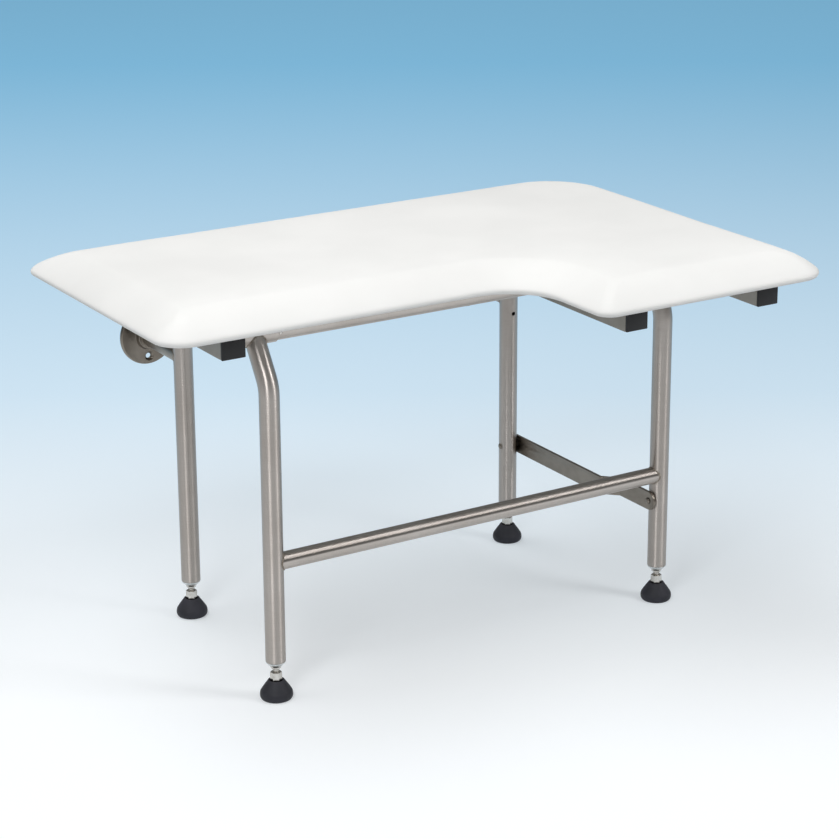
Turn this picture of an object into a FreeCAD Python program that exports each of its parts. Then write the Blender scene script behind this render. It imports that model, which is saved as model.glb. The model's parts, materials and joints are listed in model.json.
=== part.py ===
"""Fold down wall seat: an L-shaped padded seat on two wall flanges, with front legs that swing down.

The frame has x to the right, y towards the wall and z up, in millimetres.
The floor is z = 0, x = 0 is the middle of the seat and y = 0 is midway from wall to front edge.
"""
import FreeCAD, Part
import math
import os
import Sketcher

Vector = FreeCAD.Vector

doc = FreeCAD.newDocument("FoldDownWallSeat")

# Driving sizes

SIZES = {
    "seat_length": 856,
    "seat_depth": 575,
    "narrow_depth": 410.6,
    "deep_width": 356.4,
    "wall_gap": 10.4,
    "corner_rear_left": 20,
    "corner_rear_right": 120,
    "corner_front_right": 44,
    "corner_lobe": 22,
    "corner_notch": 73,
    "corner_front_left": 40,
    "pad_lip": 6.2,
    "pad_crown": 28,
    "pad_roll": 51.7,
    "pad_tuck": 3.7,
    "pad_tuck_share": 0.25,
    "pad_lip_share": 0.35,
    "pad_roll_fullness": 1.3,
    "pad_roll_flatness": 0.84,
    "least_corner": 12,
    "board_thickness": 9,
    "board_inset": 16,
    "soft_gap": 0.3,
    "rail_side": 31.75,
    "rail_wall": 1.65,
    "rail_middle_inset": 70.5,
    "rail_front_setback": 29.4,
    "rail_left_nose": 34,
    "cap_flange": 3,
    "cap_insert": 12,
    "cap_clearance": 1.3,
    "leg_diameter": 25.4,
    "leg_wall": 1.6,
    "leg_offset": 37,
    "leg_bend_radius": 40,
    "leg_bend_angle": 33,
    "front_pivot_setback": 61,
    "nest_gap": 2.7,
    "flange_span": 508,
    "flange_middle": -1.9,
    "stub_reach": 108,
    "stub_drop": 98,
    "vent_diameter": 5.5,
    "vent_drop": 22,
    "pivot_height": 463,
    "pivot_diameter": 25.4,
    "pivot_wall": 2,
    "sleeve_wall": 1.6,
    "sleeve_length": 55,
    "running_gap": 0.06,
    "side_gap": 0.5,
    "weld_gap": 0.05,
    "rivet_head": 5,
    "rivet_rise": 1.6,
    "rivet_sink": 1,
    "head_top_share": 0.6,
    "flange_diameter": 79,
    "flange_thickness": 5,
    "flange_edge": 1.5,
    "neck_diameter": 37,
    "neck_height": 7,
    "neck_taper": 2,
    "screw_hole": 7,
    "screw_sink": 12.5,
    "screw_circle": 57,
    "crossbar_diameter": 22,
    "crossbar_wall": 1.6,
    "crossbar_rise": 35,
    "strap_height": 25.4,
    "strap_thickness": 4,
    "strap_level": 145,
    "joggle_reach": 63,
    "joggle_run": 20,
    "joggle_offset": 20.25,
    "bolt_diameter": 6,
    "bolt_head": 8.5,
    "bolt_head_rise": 2,
    "nut_flats": 13,
    "strap_nut_flats": 10,
    "strap_nut_height": 5,
    "strap_nut_sink": 1.7,
    "open_pivot_gap": 0.25,
    "stud_diameter": 8,
    "stud_grip": 24,
    "plug_insert": 22,
    "plug_taper": 5,
    "plug_shoulder": 1.2,
    "plug_nose": 16,
    "jam_nut_height": 5,
    "base_nut_height": 13,
    "foot_travel": 5,
    "rubber_height": 24.5,
    "rubber_top": 19.6,
    "rubber_widest": 41.5,
    "rubber_sole": 38.5,
    "rubber_wide_height": 4,
    "rubber_seat": 22,
    "rubber_dish": 16.6,
    "seat_screw_diameter": 6,
    "seat_screw_head": 12,
    "seat_screw_head_rise": 3,
    "seat_screw_bite": 7,
    "screw_row_inset": 60,
}

# Places worked out from the driving sizes

PLACES = {
    "wall_face": "(Sizes.seat_depth + Sizes.wall_gap) / 2",
    "seat_front": "-(Sizes.seat_depth + Sizes.wall_gap) / 2",
    "seat_back": "(Sizes.seat_depth - Sizes.wall_gap) / 2",
    "narrow_front": "(Sizes.seat_depth - Sizes.wall_gap) / 2 - Sizes.narrow_depth",
    "notch_side": "Sizes.seat_length / 2 - Sizes.deep_width",
    "rear_leg_line": "(Sizes.seat_depth + Sizes.wall_gap) / 2 - Sizes.stub_reach",
    "rear_pivot_line": "rear_leg_line + Sizes.leg_offset",
    "front_pivot_line": "narrow_front + Sizes.front_pivot_setback",
    "front_leg_line": "front_pivot_line - Sizes.leg_offset",
    "rail_top": "Sizes.pivot_height + Sizes.rail_side / 2",
    "rail_bottom": "Sizes.pivot_height - Sizes.rail_side / 2",
    "cap_length": "Sizes.cap_insert + Sizes.cap_flange",
    "rail_back": "rear_pivot_line + Sizes.pivot_diameter / 2 + Sizes.cap_clearance + cap_length",
    "rail_left_front": "front_pivot_line - Sizes.rail_left_nose",
    "rail_deep_front": "seat_front + Sizes.rail_front_setback",
    "rail_to_sleeve": "Sizes.rail_side / 2 + Sizes.side_gap + Sizes.sleeve_length / 2",
    "rear_left": "Sizes.flange_middle - Sizes.flange_span / 2",
    "rear_right": "Sizes.flange_middle + Sizes.flange_span / 2",
    "front_left": "rear_left - Sizes.leg_diameter - Sizes.nest_gap",
    "strap_rear_face": "rear_right + Sizes.leg_diameter / 2 + Sizes.side_gap",
    "strap_front_face": "strap_rear_face + Sizes.joggle_offset + Sizes.strap_thickness",
    "front_right": "strap_front_face + Sizes.side_gap + Sizes.leg_diameter / 2",
    "rail_left_place": "front_left - rail_to_sleeve",
    "rail_middle_place": "notch_side + Sizes.rail_middle_inset",
    "rail_right_place": "front_right + rail_to_sleeve",
    "sleeve_diameter": "Sizes.pivot_diameter + 2 * Sizes.sleeve_wall",
    "stub_height": "Sizes.pivot_height - Sizes.stub_drop",
    "vent_height": "stub_height - Sizes.vent_drop",
    "crossbar_height": "Sizes.strap_level + Sizes.crossbar_rise",
    "jam_nut_bottom": "Sizes.rubber_seat + Sizes.base_nut_height + Sizes.foot_travel",
    "leg_bottom": "jam_nut_bottom + Sizes.jam_nut_height + Sizes.plug_taper",
}


def fill_sheet(name, rows):
    """Writes one alias a row and returns the sheet."""
    sheet = doc.addObject("Spreadsheet::Sheet", name)
    for row, (alias, content) in enumerate(rows.items(), start=1):
        sheet.set(f"A{row}", alias)
        sheet.set(f"B{row}", str(content))
        sheet.setAlias(f"B{row}", alias)
    doc.recompute()
    return sheet


sizes = fill_sheet("Sizes", SIZES)
places = fill_sheet("Places", {alias: "=" + formula for alias, formula in PLACES.items()})

nodes = []


# Helpers that bind an object to the sheets

def bind(thing, **formulas):
    """Binds properties to formulas; a double underscore in a name stands for a point."""
    for name, formula in formulas.items():
        thing.setExpression(name.replace("__", "."), formula)


def place(thing, x="0", y="0", z="0"):
    """Binds a placement's base to three formulas."""
    bind(thing, Placement__Base__x=x, Placement__Base__y=y, Placement__Base__z=z)


TURNS = {
    "x": FreeCAD.Rotation(Vector(0, 1, 0), 90),
    "y": FreeCAD.Rotation(Vector(1, 0, 0), -90),
    "z": FreeCAD.Rotation(),
}


def cylinder(name, diameter, length, axis="z", x="0", y="0", z="0"):
    """Makes a cylinder that starts at a point and runs along an axis."""
    thing = doc.addObject("Part::Cylinder", name)
    thing.Placement = FreeCAD.Placement(Vector(), TURNS[axis])
    bind(thing, Radius=f"({diameter}) / 2", Height=length)
    place(thing, x, y, z)
    return thing


def cone(name, start, end, length, axis="z", x="0", y="0", z="0"):
    """Makes a cone frustum from its two diameters."""
    thing = doc.addObject("Part::Cone", name)
    thing.Placement = FreeCAD.Placement(Vector(), TURNS[axis])
    bind(thing, Radius1=f"({start}) / 2", Radius2=f"({end}) / 2", Height=length)
    place(thing, x, y, z)
    return thing


def block(name, length, width, height, x="0", y="0", z="0"):
    """Makes a box whose centre in x is the given place and that starts at y and z."""
    thing = doc.addObject("Part::Box", name)
    bind(thing, Length=length, Width=width, Height=height)
    place(thing, f"{x} - ({length}) / 2", y, z)
    return thing


def hexagon(name, flats, height, axis="z", x="0", y="0", z="0"):
    """Makes a hexagonal prism from the distance over its flats."""
    thing = doc.addObject("Part::Prism", name)
    thing.Polygon = 6
    thing.Placement = FreeCAD.Placement(Vector(), TURNS[axis])
    bind(thing, Circumradius=f"({flats}) / 2 / cos(30)", Height=height)
    place(thing, x, y, z)
    return thing


def fuse(name, *things):
    """Joins objects into one solid."""
    thing = doc.addObject("Part::MultiFuse", name)
    thing.Shapes = list(things)
    thing.Refine = True
    return thing


def cut(name, base, *tools):
    """Cuts one or more tools out of a base."""
    thing = doc.addObject("Part::Cut", name)
    thing.Base = base
    thing.Tool = tools[0] if len(tools) == 1 else gather(name + "_tools", *tools)
    return thing


def gather(name, *things):
    """Keeps separate solids together in one object."""
    thing = doc.addObject("Part::Compound", name)
    thing.Links = list(things)
    return thing


def tube(name, diameter, wall, length, axis="z", x="0", y="0", z="0"):
    """Makes a round tube, open at both ends."""
    outside = cylinder(name + "_outside", diameter, length, axis, x, y, z)
    inside = cylinder(name + "_inside", f"{diameter} - 2 * {wall}", length, axis, x, y, z)
    return cut(name, outside, inside)


def keep(thing, label):
    """Names a finished sub-part and lists it for export."""
    thing.Label = label
    nodes.append(thing)
    return thing


def origin_plane(body, role):
    """Finds one of a body's own origin planes."""
    return next(item for item in body.Origin.OriginFeatures if item.Role == role)


def new_sketch(body, name, role):
    """Starts a sketch on one of the body's origin planes."""
    sketch = body.newObject("Sketcher::SketchObject", name)
    sketch.AttachmentSupport = [(origin_plane(body, role), "")]
    sketch.MapMode = "FlatFace"
    return sketch


def measured(formula):
    """Works out a formula's present value."""
    return float(places.evalExpression(formula))


def bind_point(sketch, geometry, corner, x, y):
    """Binds one sketch point to two formulas."""
    for kind, formula in (("DistanceX", x), ("DistanceY", y)):
        index = sketch.addConstraint(Sketcher.Constraint(kind, geometry, corner, measured(formula)))
        sketch.setExpression(f"Constraints[{index}]", formula)


def draw_polygon(sketch, corners):
    """Draws a closed outline whose corners are pairs of formulas."""
    points = [Vector(measured(x), measured(y), 0) for x, y in corners]
    lines = [
        sketch.addGeometry(Part.LineSegment(start, end))
        for start, end in zip(points, points[1:] + points[:1])
    ]
    for line, following in zip(lines, lines[1:] + lines[:1]):
        sketch.addConstraint(Sketcher.Constraint("Coincident", line, 2, following, 1))
    for line, (x, y) in zip(lines, corners):
        bind_point(sketch, line, 1, x, y)


def draw_circle(sketch, diameter, x="0", y="0"):
    """Draws a circle bound to formulas."""
    centre = Vector(measured(x), measured(y), 0)
    circle = sketch.addGeometry(Part.Circle(centre, Vector(0, 0, 1), measured(diameter) / 2))
    bind_point(sketch, circle, 3, x, y)
    index = sketch.addConstraint(Sketcher.Constraint("Diameter", circle, measured(diameter)))
    sketch.setExpression(f"Constraints[{index}]", diameter)


def turned(name, profile, x="0", y="0", z="0"):
    """Makes a solid of revolution about z from radius and height pairs."""
    body = doc.addObject("PartDesign::Body", name)
    sketch = new_sketch(body, name + "_profile", "XZ_Plane")
    draw_polygon(sketch, profile)
    spin = body.newObject("PartDesign::Revolution", name + "_spin")
    spin.Profile = sketch
    spin.ReferenceAxis = (sketch, ["V_Axis"])
    spin.Angle = 360
    place(body, x, y, z)
    return body


# Seat pad and board

# Shares of the pad's roll at which its upper sections lie, closer together near the lip
ROLL_STEPS = (0.04, 0.1, 0.2, 0.33, 0.5, 0.72, 1)


def seat_corners():
    """Lists the seat's plan corners clockwise from the rear left, with their radii."""
    left = -sizes.seat_length / 2
    right = sizes.seat_length / 2
    return [
        (left, places.seat_back, sizes.corner_rear_left, 1),
        (right, places.seat_back, sizes.corner_rear_right, 1),
        (right, places.seat_front, sizes.corner_front_right, 1),
        (places.notch_side, places.seat_front, sizes.corner_lobe, 1),
        (places.notch_side, places.narrow_front, sizes.corner_notch, -1),
        (left, places.narrow_front, sizes.corner_front_left, 1),
    ]


def seat_outline(inset, height):
    """Draws the seat's plan outline, moved in by the inset, as a wire at a height."""
    corners = seat_corners()
    edges = []
    joints = []
    for index, (x, y, radius, turn) in enumerate(corners):
        before = Vector(*corners[index - 1][:2], 0)
        here = Vector(x, y, 0)
        after = Vector(*corners[(index + 1) % len(corners)][:2], 0)
        arriving = (here - before).normalize()
        leaving = (after - here).normalize()
        inward_in = Vector(arriving.y, -arriving.x, 0)
        inward_out = Vector(leaving.y, -leaving.x, 0)
        corner = here + (inward_in + inward_out) * inset + Vector(0, 0, height)
        bend = max(radius - turn * inset, sizes.least_corner)
        start = corner - arriving * bend
        end = corner + leaving * bend
        centre = corner - arriving * bend + inward_in * bend * turn
        middle = centre + (corner - centre).normalize() * bend
        joints.append((start, middle, end))
    for index, (start, middle, end) in enumerate(joints):
        edges.append(Part.Arc(start, middle, end).toShape())
        edges.append(Part.LineSegment(end, joints[(index + 1) % len(joints)][0]).toShape())
    return Part.Wire(edges)


def pad_sections():
    """Lists the pad's insets and heights from the tucked underside up to the crown."""
    lip = sizes.pad_lip
    tuck = sizes.pad_tuck
    base = places.rail_top
    turn_in = (tuck * sizes.pad_tuck_share, base + lip * sizes.pad_lip_share)
    sections = [(tuck, base), turn_in, (0, base + lip)]
    for step in ROLL_STEPS:
        rise = (1 - (1 - step) ** sizes.pad_roll_fullness) ** sizes.pad_roll_flatness
        sections.append((sizes.pad_roll * step, base + lip + sizes.pad_crown * rise))
    return sections


def make_pad():
    """Makes the crowned cushion with a recess that takes the board."""
    outlines = [seat_outline(inset, height) for inset, height in pad_sections()]
    cushion = Part.makeLoft(outlines, True, True)
    recess = Part.Face(seat_outline(sizes.board_inset - sizes.soft_gap, places.rail_top))
    cushion = cushion.cut(recess.extrude(Vector(0, 0, sizes.board_thickness + sizes.soft_gap)))
    pad = doc.addObject("Part::Feature", "SeatPad")
    pad.Shape = cushion.Solids[0]
    return keep(pad, "seat_pad")


def make_board():
    """Makes the flat board that the pad is bonded to, with blind holes for the seat screws."""
    face = Part.Face(seat_outline(sizes.board_inset, places.rail_top))
    board = doc.addObject("Part::Feature", "BoardBlank")
    board.Shape = face.extrude(Vector(0, 0, sizes.board_thickness))
    holes = [
        cylinder(f"BoardHole{index}", "Sizes.seat_screw_diameter + 2 * Sizes.weld_gap",
                 "Sizes.seat_screw_bite + Sizes.weld_gap", "z", x, y, "Places.rail_top")
        for index, (x, y) in enumerate(screw_places())
    ]
    keep(cut("Board", board, *holes), "seat_board")


# Seat rails with their end caps

RAILS = {
    "left": ("Places.rail_left_place", "Places.rail_left_front"),
    "middle": ("Places.rail_middle_place", "Places.rail_deep_front"),
    "right": ("Places.rail_right_place", "Places.rail_deep_front"),
}


# Sides of a tube that its pivot holes run to the left and right of its middle
PIVOT_HOLES = {"left": (0, 1), "middle": (1, 1), "right": (1, 0)}


def screw_places():
    """Lists the seat screws' places on the rails as formulas."""
    spots = []
    for side, (x, front) in RAILS.items():
        spots.append((x, "Places.rear_pivot_line - Sizes.screw_row_inset"))
        spots.append((x, "Places.front_pivot_line + Sizes.screw_row_inset"))
        if side != "left":
            spots.append((x, f"{front} + Sizes.screw_row_inset"))
    return spots


def make_rail(side):
    """Makes one square tube with holes for the two pivot tubes and the seat screws."""
    x, front = RAILS[side]
    to_left, to_right = PIVOT_HOLES[side]
    name = "Rail" + side.capitalize()
    body = doc.addObject("PartDesign::Body", name + "Tube")
    sketch = new_sketch(body, name + "Section", "XZ_Plane")
    for half in ("Sizes.rail_side / 2", "(Sizes.rail_side / 2 - Sizes.rail_wall)"):
        draw_polygon(sketch, [
            (f"-{half}", f"-{half}"), (half, f"-{half}"), (half, half), (f"-{half}", half),
        ])
    pad = body.newObject("PartDesign::Pad", name + "Length")
    pad.Profile = sketch
    pad.Reversed = True
    bind(pad, Length=f"Places.rail_back - ({front}) - 2 * Sizes.cap_flange")
    place(body, x, f"{front} + Sizes.cap_flange", "Sizes.pivot_height")
    holes = [
        cylinder(f"{name}Pivot{index}", "Sizes.pivot_diameter + 2 * Sizes.weld_gap",
                 f"{to_left + to_right} * Sizes.rail_side", "x", f"{x} - {to_left} * Sizes.rail_side", line,
                 "Sizes.pivot_height")
        for index, line in enumerate(("Places.rear_pivot_line", "Places.front_pivot_line"))
    ]
    holes += [
        cylinder(f"{name}Screw{index}", "Sizes.seat_screw_diameter + 2 * Sizes.weld_gap",
                 "2 * Sizes.rail_side", "z", x, y, "Sizes.pivot_height - Sizes.rail_side")
        for index, (screw_x, y) in enumerate(screw_places()) if screw_x == x
    ]
    keep(cut(name, body, *holes), f"{side}_rail")


def make_cap(name, x, y, outwards):
    """Makes one black square cap: a flange over the tube's end and a plug inside it."""
    inner = "Sizes.rail_side - 2 * Sizes.rail_wall - 2 * Sizes.weld_gap"
    flange_y = y if outwards < 0 else f"{y} - Sizes.cap_flange"
    plug_y = f"{y} + Sizes.cap_flange" if outwards < 0 else f"{y} - Sizes.cap_flange - Sizes.cap_insert"
    flange = block(name + "Flange", "Sizes.rail_side", "Sizes.cap_flange", "Sizes.rail_side",
                   x, flange_y, "Places.rail_bottom")
    plug = block(name + "Plug", inner, "Sizes.cap_insert", inner,
                 x, plug_y, f"Sizes.pivot_height - ({inner}) / 2")
    return fuse(name, flange, plug)


def make_caps():
    """Makes the front caps, one node each, and the rear caps as one group."""
    for side, (x, front) in RAILS.items():
        keep(make_cap("FrontCap" + side.capitalize(), x, front, -1), f"{side}_front_cap")
    rear = [make_cap("RearCap" + side.capitalize(), x, "Places.rail_back", 1) for side, (x, _) in RAILS.items()]
    keep(gather("RearCaps", *rear), "rear_caps")


def make_seat_screws():
    """Makes the screws that hold the board down on the rails, heads below."""
    screws = []
    for index, (x, y) in enumerate(screw_places()):
        head = cylinder(f"SeatScrewHead{index}", "Sizes.seat_screw_head", "Sizes.seat_screw_head_rise",
                        "z", x, y, "Places.rail_bottom - Sizes.seat_screw_head_rise")
        shank = cylinder(f"SeatScrewShank{index}", "Sizes.seat_screw_diameter",
                         "Sizes.rail_side + Sizes.seat_screw_bite", "z", x, y, "Places.rail_bottom")
        screws.append(fuse(f"SeatScrew{index}", head, shank))
    keep(gather("SeatScrews", *screws), "seat_screws")


# Pivot tubes with the rivets that stop the sleeves

def make_pivot_tube(end, line, rivets):
    """Makes a cross tube that ends inside the outer rails, and its stop rivets."""
    inside = "(Sizes.rail_side / 2 - Sizes.rail_wall - Sizes.weld_gap)"
    start = f"Places.rail_left_place - {inside}"
    length = f"Places.rail_right_place - Places.rail_left_place + 2 * {inside}"
    name = end.capitalize() + "Pivot"
    keep(tube(name, "Sizes.pivot_diameter", "Sizes.pivot_wall", length, "x", start, line,
              "Sizes.pivot_height"), f"{end}_pivot_tube")
    surface = f"{line} - Sizes.pivot_diameter / 2"
    heads = []
    for index, x in enumerate(rivets):
        heads.append(cut(
            f"{name}Rivet{index}",
            cone(f"{name}RivetHead{index}", "Sizes.rivet_head * Sizes.head_top_share", "Sizes.rivet_head",
                 "Sizes.rivet_rise + Sizes.rivet_sink", "y", x, f"{surface} - Sizes.rivet_rise", "Sizes.pivot_height"),
            cylinder(f"{name}RivetSeat{index}", "Sizes.pivot_diameter + 2 * Sizes.weld_gap",
                     "2 * Sizes.rivet_head", "x", f"{x} - Sizes.rivet_head", line, "Sizes.pivot_height"),
        ))
    keep(gather(name + "Rivets", *heads), f"{end}_stop_rivets")


def make_pivot_tubes():
    """Makes the rear tube that the seat turns on and the front tube that the legs hang on."""
    reach = "(Sizes.sleeve_length / 2 + Sizes.side_gap + Sizes.rivet_head / 2)"
    make_pivot_tube("rear", "Places.rear_pivot_line",
                    (f"Places.rear_left + {reach}", f"Places.rear_right - {reach}"))
    make_pivot_tube("front", "Places.front_pivot_line",
                    (f"Places.front_left + {reach}", f"Places.front_right - {reach}"))


# Legs, sleeves, plugs and jam nuts

LEGS = {
    "rear_left": ("Places.rear_left", "Places.rear_leg_line"),
    "rear_right": ("Places.rear_right", "Places.rear_leg_line"),
    "front_left": ("Places.front_left", "Places.front_leg_line"),
    "front_right": ("Places.front_right", "Places.front_leg_line"),
}


def title(name):
    """Turns a node name into an object name."""
    return "".join(word.capitalize() for word in name.split("_"))


def draw_leg_path(sketch):
    """Draws the leg's centre line: straight up, one bend back, straight to the pivot."""
    radius = sizes.leg_bend_radius
    angle = math.radians(sizes.leg_bend_angle)
    run = (sizes.leg_offset - radius * (1 - math.cos(angle))) / math.sin(angle)
    bend_start = sizes.pivot_height - radius * math.sin(angle) - run * math.cos(angle)
    centre = Vector(radius, bend_start, 0)
    bend_end = centre + Vector(-math.cos(angle), math.sin(angle), 0) * radius
    top = Vector(sizes.leg_offset, sizes.pivot_height, 0)
    upright = sketch.addGeometry(Part.LineSegment(Vector(0, places.leg_bottom, 0), Vector(0, bend_start, 0)))
    circle = Part.Circle(centre, Vector(0, 0, 1), radius)
    bend = sketch.addGeometry(Part.ArcOfCircle(circle, math.pi - angle, math.pi))
    slant = sketch.addGeometry(Part.LineSegment(bend_end, top))
    sketch.addConstraint(Sketcher.Constraint("Vertical", upright))
    sketch.addConstraint(Sketcher.Constraint("Tangent", upright, 2, bend, 2))
    sketch.addConstraint(Sketcher.Constraint("Tangent", bend, 1, slant, 1))
    bind_point(sketch, upright, 1, "0", "Places.leg_bottom")
    bind_point(sketch, slant, 2, "Sizes.leg_offset", "Sizes.pivot_height")
    index = sketch.addConstraint(Sketcher.Constraint("Radius", bend, radius))
    sketch.setExpression(f"Constraints[{index}]", "Sizes.leg_bend_radius")
    index = sketch.addConstraint(Sketcher.Constraint("Angle", slant, math.pi / 2 - angle))
    sketch.setExpression(f"Constraints[{index}]", "90 - Sizes.leg_bend_angle")


def make_leg(side):
    """Makes one bent leg tube, coped to its sleeve and drilled where a bolt passes."""
    x, y = LEGS[side]
    name = title(side) + "Leg"
    body = doc.addObject("PartDesign::Body", name + "Tube")
    path = new_sketch(body, name + "Path", "YZ_Plane")
    draw_leg_path(path)
    ring = new_sketch(body, name + "Ring", "XY_Plane")
    ring.setExpression("AttachmentOffset.Base.z", "Places.leg_bottom")
    draw_circle(ring, "Sizes.leg_diameter")
    draw_circle(ring, "Sizes.leg_diameter - 2 * Sizes.leg_wall")
    pipe = body.newObject("PartDesign::AdditivePipe", name + "Pipe")
    pipe.Profile = ring
    pipe.Spine = (path, ["Edge1", "Edge2", "Edge3"])
    place(body, x, y)
    tools = [cylinder(name + "Cope", "Places.sleeve_diameter + 2 * Sizes.weld_gap", "3 * Sizes.leg_diameter",
                      "x", f"{x} - 1.5 * Sizes.leg_diameter", f"{y} + Sizes.leg_offset", "Sizes.pivot_height")]
    if side.endswith("right"):
        depth = "2 * Sizes.leg_diameter" if side == "rear_right" else "Sizes.leg_diameter"
        tools.append(cylinder(name + "BoltHole", "Sizes.bolt_diameter + 2 * Sizes.weld_gap",
                              depth, "x", f"{x} - Sizes.leg_diameter", y, "Sizes.strap_level"))
    if side == "rear_right":
        tools.append(cylinder(name + "Vent", "Sizes.vent_diameter", "Sizes.leg_diameter", "y",
                              x, f"{y} - Sizes.leg_diameter", "Places.vent_height"))
    keep(cut(name, body, *tools), side + "_leg")


def make_sleeve(side):
    """Makes the sleeve on top of a leg, which turns on a pivot tube."""
    x, y = LEGS[side]
    wall = "Sizes.sleeve_wall - Sizes.running_gap"
    sleeve = tube(title(side) + "Sleeve", "Places.sleeve_diameter", f"({wall})", "Sizes.sleeve_length", "x",
                  f"{x} - Sizes.sleeve_length / 2", f"{y} + Sizes.leg_offset", "Sizes.pivot_height")
    keep(sleeve, side + "_sleeve")


def make_leg_plug(side):
    """Makes the plug in a leg's lower end, bored for the foot's stud."""
    x, y = LEGS[side]
    bore = "(Sizes.stud_diameter / 2 + Sizes.running_gap)"
    inside = "(Sizes.leg_diameter / 2 - Sizes.leg_wall - Sizes.weld_gap)"
    profile = [
        (bore, "-Sizes.plug_taper"), ("Sizes.plug_nose / 2", "-Sizes.plug_taper"),
        ("Sizes.leg_diameter / 2", "-Sizes.plug_shoulder"), ("Sizes.leg_diameter / 2", "0"),
        (inside, "0"), (inside, "Sizes.plug_insert"), (bore, "Sizes.plug_insert"),
    ]
    keep(turned(title(side) + "Plug", profile, x, y, "Places.leg_bottom"), side + "_leg_plug")


def make_jam_nuts(end):
    """Makes the thin nuts that lock the two feet of one pair of legs."""
    nuts = []
    for side in ("left", "right"):
        x, y = LEGS[f"{end}_{side}"]
        name = f"{title(end)}{title(side)}JamNut"
        outside = hexagon(name + "Hex", "Sizes.nut_flats", "Sizes.jam_nut_height", "z", x, y,
                          "Places.jam_nut_bottom")
        bore = cylinder(name + "Bore", "Sizes.stud_diameter + 2 * Sizes.running_gap",
                        "Sizes.jam_nut_height", "z", x, y, "Places.jam_nut_bottom")
        nuts.append(cut(name, outside, bore))
    keep(gather(title(end) + "JamNuts", *nuts), f"{end}_jam_nuts")


# Levelling feet

# Points on the rubber's side: share of its flare, share of the height above its widest ring
RUBBER_CURVE = ((0.95, 0.27), (0.85, 0.37), (0.45, 0.68))


def make_foot(side):
    """Makes one threaded stud with its base nut, and the dished rubber foot that it stands in."""
    x, y = LEGS[side]
    name = title(side)
    stud = cylinder(name + "StudRod", "Sizes.stud_diameter",
                    "Places.leg_bottom + Sizes.stud_grip - Sizes.rubber_seat", "z", x, y,
                    "Sizes.rubber_seat")
    nut = hexagon(name + "BaseNut", "Sizes.nut_flats", "Sizes.base_nut_height", "z", x, y,
                  "Sizes.rubber_seat")
    keep(fuse(name + "Stud", stud, nut), side + "_stud")
    flare = "(Sizes.rubber_widest - Sizes.rubber_top) / 2"
    rise = "(Sizes.rubber_height - Sizes.rubber_wide_height)"
    profile = [("0", "0"), ("Sizes.rubber_sole / 2", "0"),
               ("Sizes.rubber_widest / 2", "Sizes.rubber_wide_height")]
    for out, up in RUBBER_CURVE:
        profile.append((f"Sizes.rubber_top / 2 + {out} * {flare}", f"Sizes.rubber_wide_height + {up} * {rise}"))
    profile += [("Sizes.rubber_top / 2", "Sizes.rubber_height"), ("Sizes.rubber_dish / 2", "Sizes.rubber_height"),
                ("Sizes.rubber_dish / 2", "Sizes.rubber_seat"), ("0", "Sizes.rubber_seat")]
    keep(turned(name + "Rubber", profile, x, y), side + "_rubber_foot")


# Wall flanges and stub tubes

def make_flange(side):
    """Makes a round wall plate with a raised neck and three countersunk screw holes."""
    x, _ = LEGS["rear_" + side]
    name = title(side) + "Flange"
    bore = "(Sizes.leg_diameter / 2 + Sizes.weld_gap)"
    profile = [
        (bore, "0"), ("Sizes.flange_diameter / 2", "0"),
        ("Sizes.flange_diameter / 2", "Sizes.flange_thickness - Sizes.flange_edge"),
        ("Sizes.flange_diameter / 2 - Sizes.flange_edge", "Sizes.flange_thickness"),
        ("Sizes.neck_diameter / 2", "Sizes.flange_thickness"),
        ("Sizes.neck_diameter / 2 - Sizes.neck_taper", "Sizes.neck_height + Sizes.flange_thickness"),
        (bore, "Sizes.neck_height + Sizes.flange_thickness"),
    ]
    plate = turned(name + "Plate", profile)
    plate.Placement = FreeCAD.Placement(Vector(), FreeCAD.Rotation(Vector(1, 0, 0), 90))
    place(plate, x, "Places.wall_face", "Places.stub_height")
    tools = []
    for index, angle in enumerate((30, 150, 270)):
        hole_x = f"{x} + Sizes.screw_circle / 2 * cos({angle})"
        hole_z = f"Places.stub_height + Sizes.screw_circle / 2 * sin({angle})"
        front = "Places.wall_face - Sizes.flange_thickness"
        depth = "(Sizes.screw_sink - Sizes.screw_hole) / 2"
        tools.append(cylinder(f"{name}Hole{index}", "Sizes.screw_hole", "3 * Sizes.flange_thickness", "y",
                              hole_x, f"{front} - Sizes.flange_thickness", hole_z))
        tools.append(cone(f"{name}Sink{index}", "Sizes.screw_sink", "Sizes.screw_hole", depth, "y",
                          hole_x, front, hole_z))
    keep(cut(name, plate, *tools), side + "_wall_flange")


def make_stub(side):
    """Makes the short tube from a wall flange to the back of a rear leg."""
    x, y = LEGS["rear_" + side]
    blank = tube(title(side) + "StubTube", "Sizes.leg_diameter", "Sizes.leg_wall", "Sizes.stub_reach", "y",
                 x, y, "Places.stub_height")
    saddle = cylinder(title(side) + "StubSaddle", "Sizes.leg_diameter + 2 * Sizes.weld_gap",
                      "2 * Sizes.leg_diameter", "z", x, y, "Places.stub_height - Sizes.leg_diameter")
    keep(cut(title(side) + "Stub", blank, saddle), side + "_stub_tube")


# Crossbar, strap and strap bolts

def make_crossbar():
    """Makes the round bar between the front legs, coped to both."""
    reach = "Places.front_right - Places.front_left"
    bar = tube("CrossbarTube", "Sizes.crossbar_diameter", "Sizes.crossbar_wall", reach, "x",
               "Places.front_left", "Places.front_leg_line", "Places.crossbar_height")
    saddles = [
        cylinder(f"CrossbarSaddle{side}", "Sizes.leg_diameter + 2 * Sizes.weld_gap",
                 "2 * Sizes.leg_diameter", "z", x, "Places.front_leg_line",
                 "Places.crossbar_height - Sizes.leg_diameter")
        for side, x in (("Left", "Places.front_left"), ("Right", "Places.front_right"))
    ]
    keep(cut("Crossbar", bar, *saddles), "crossbar")


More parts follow.
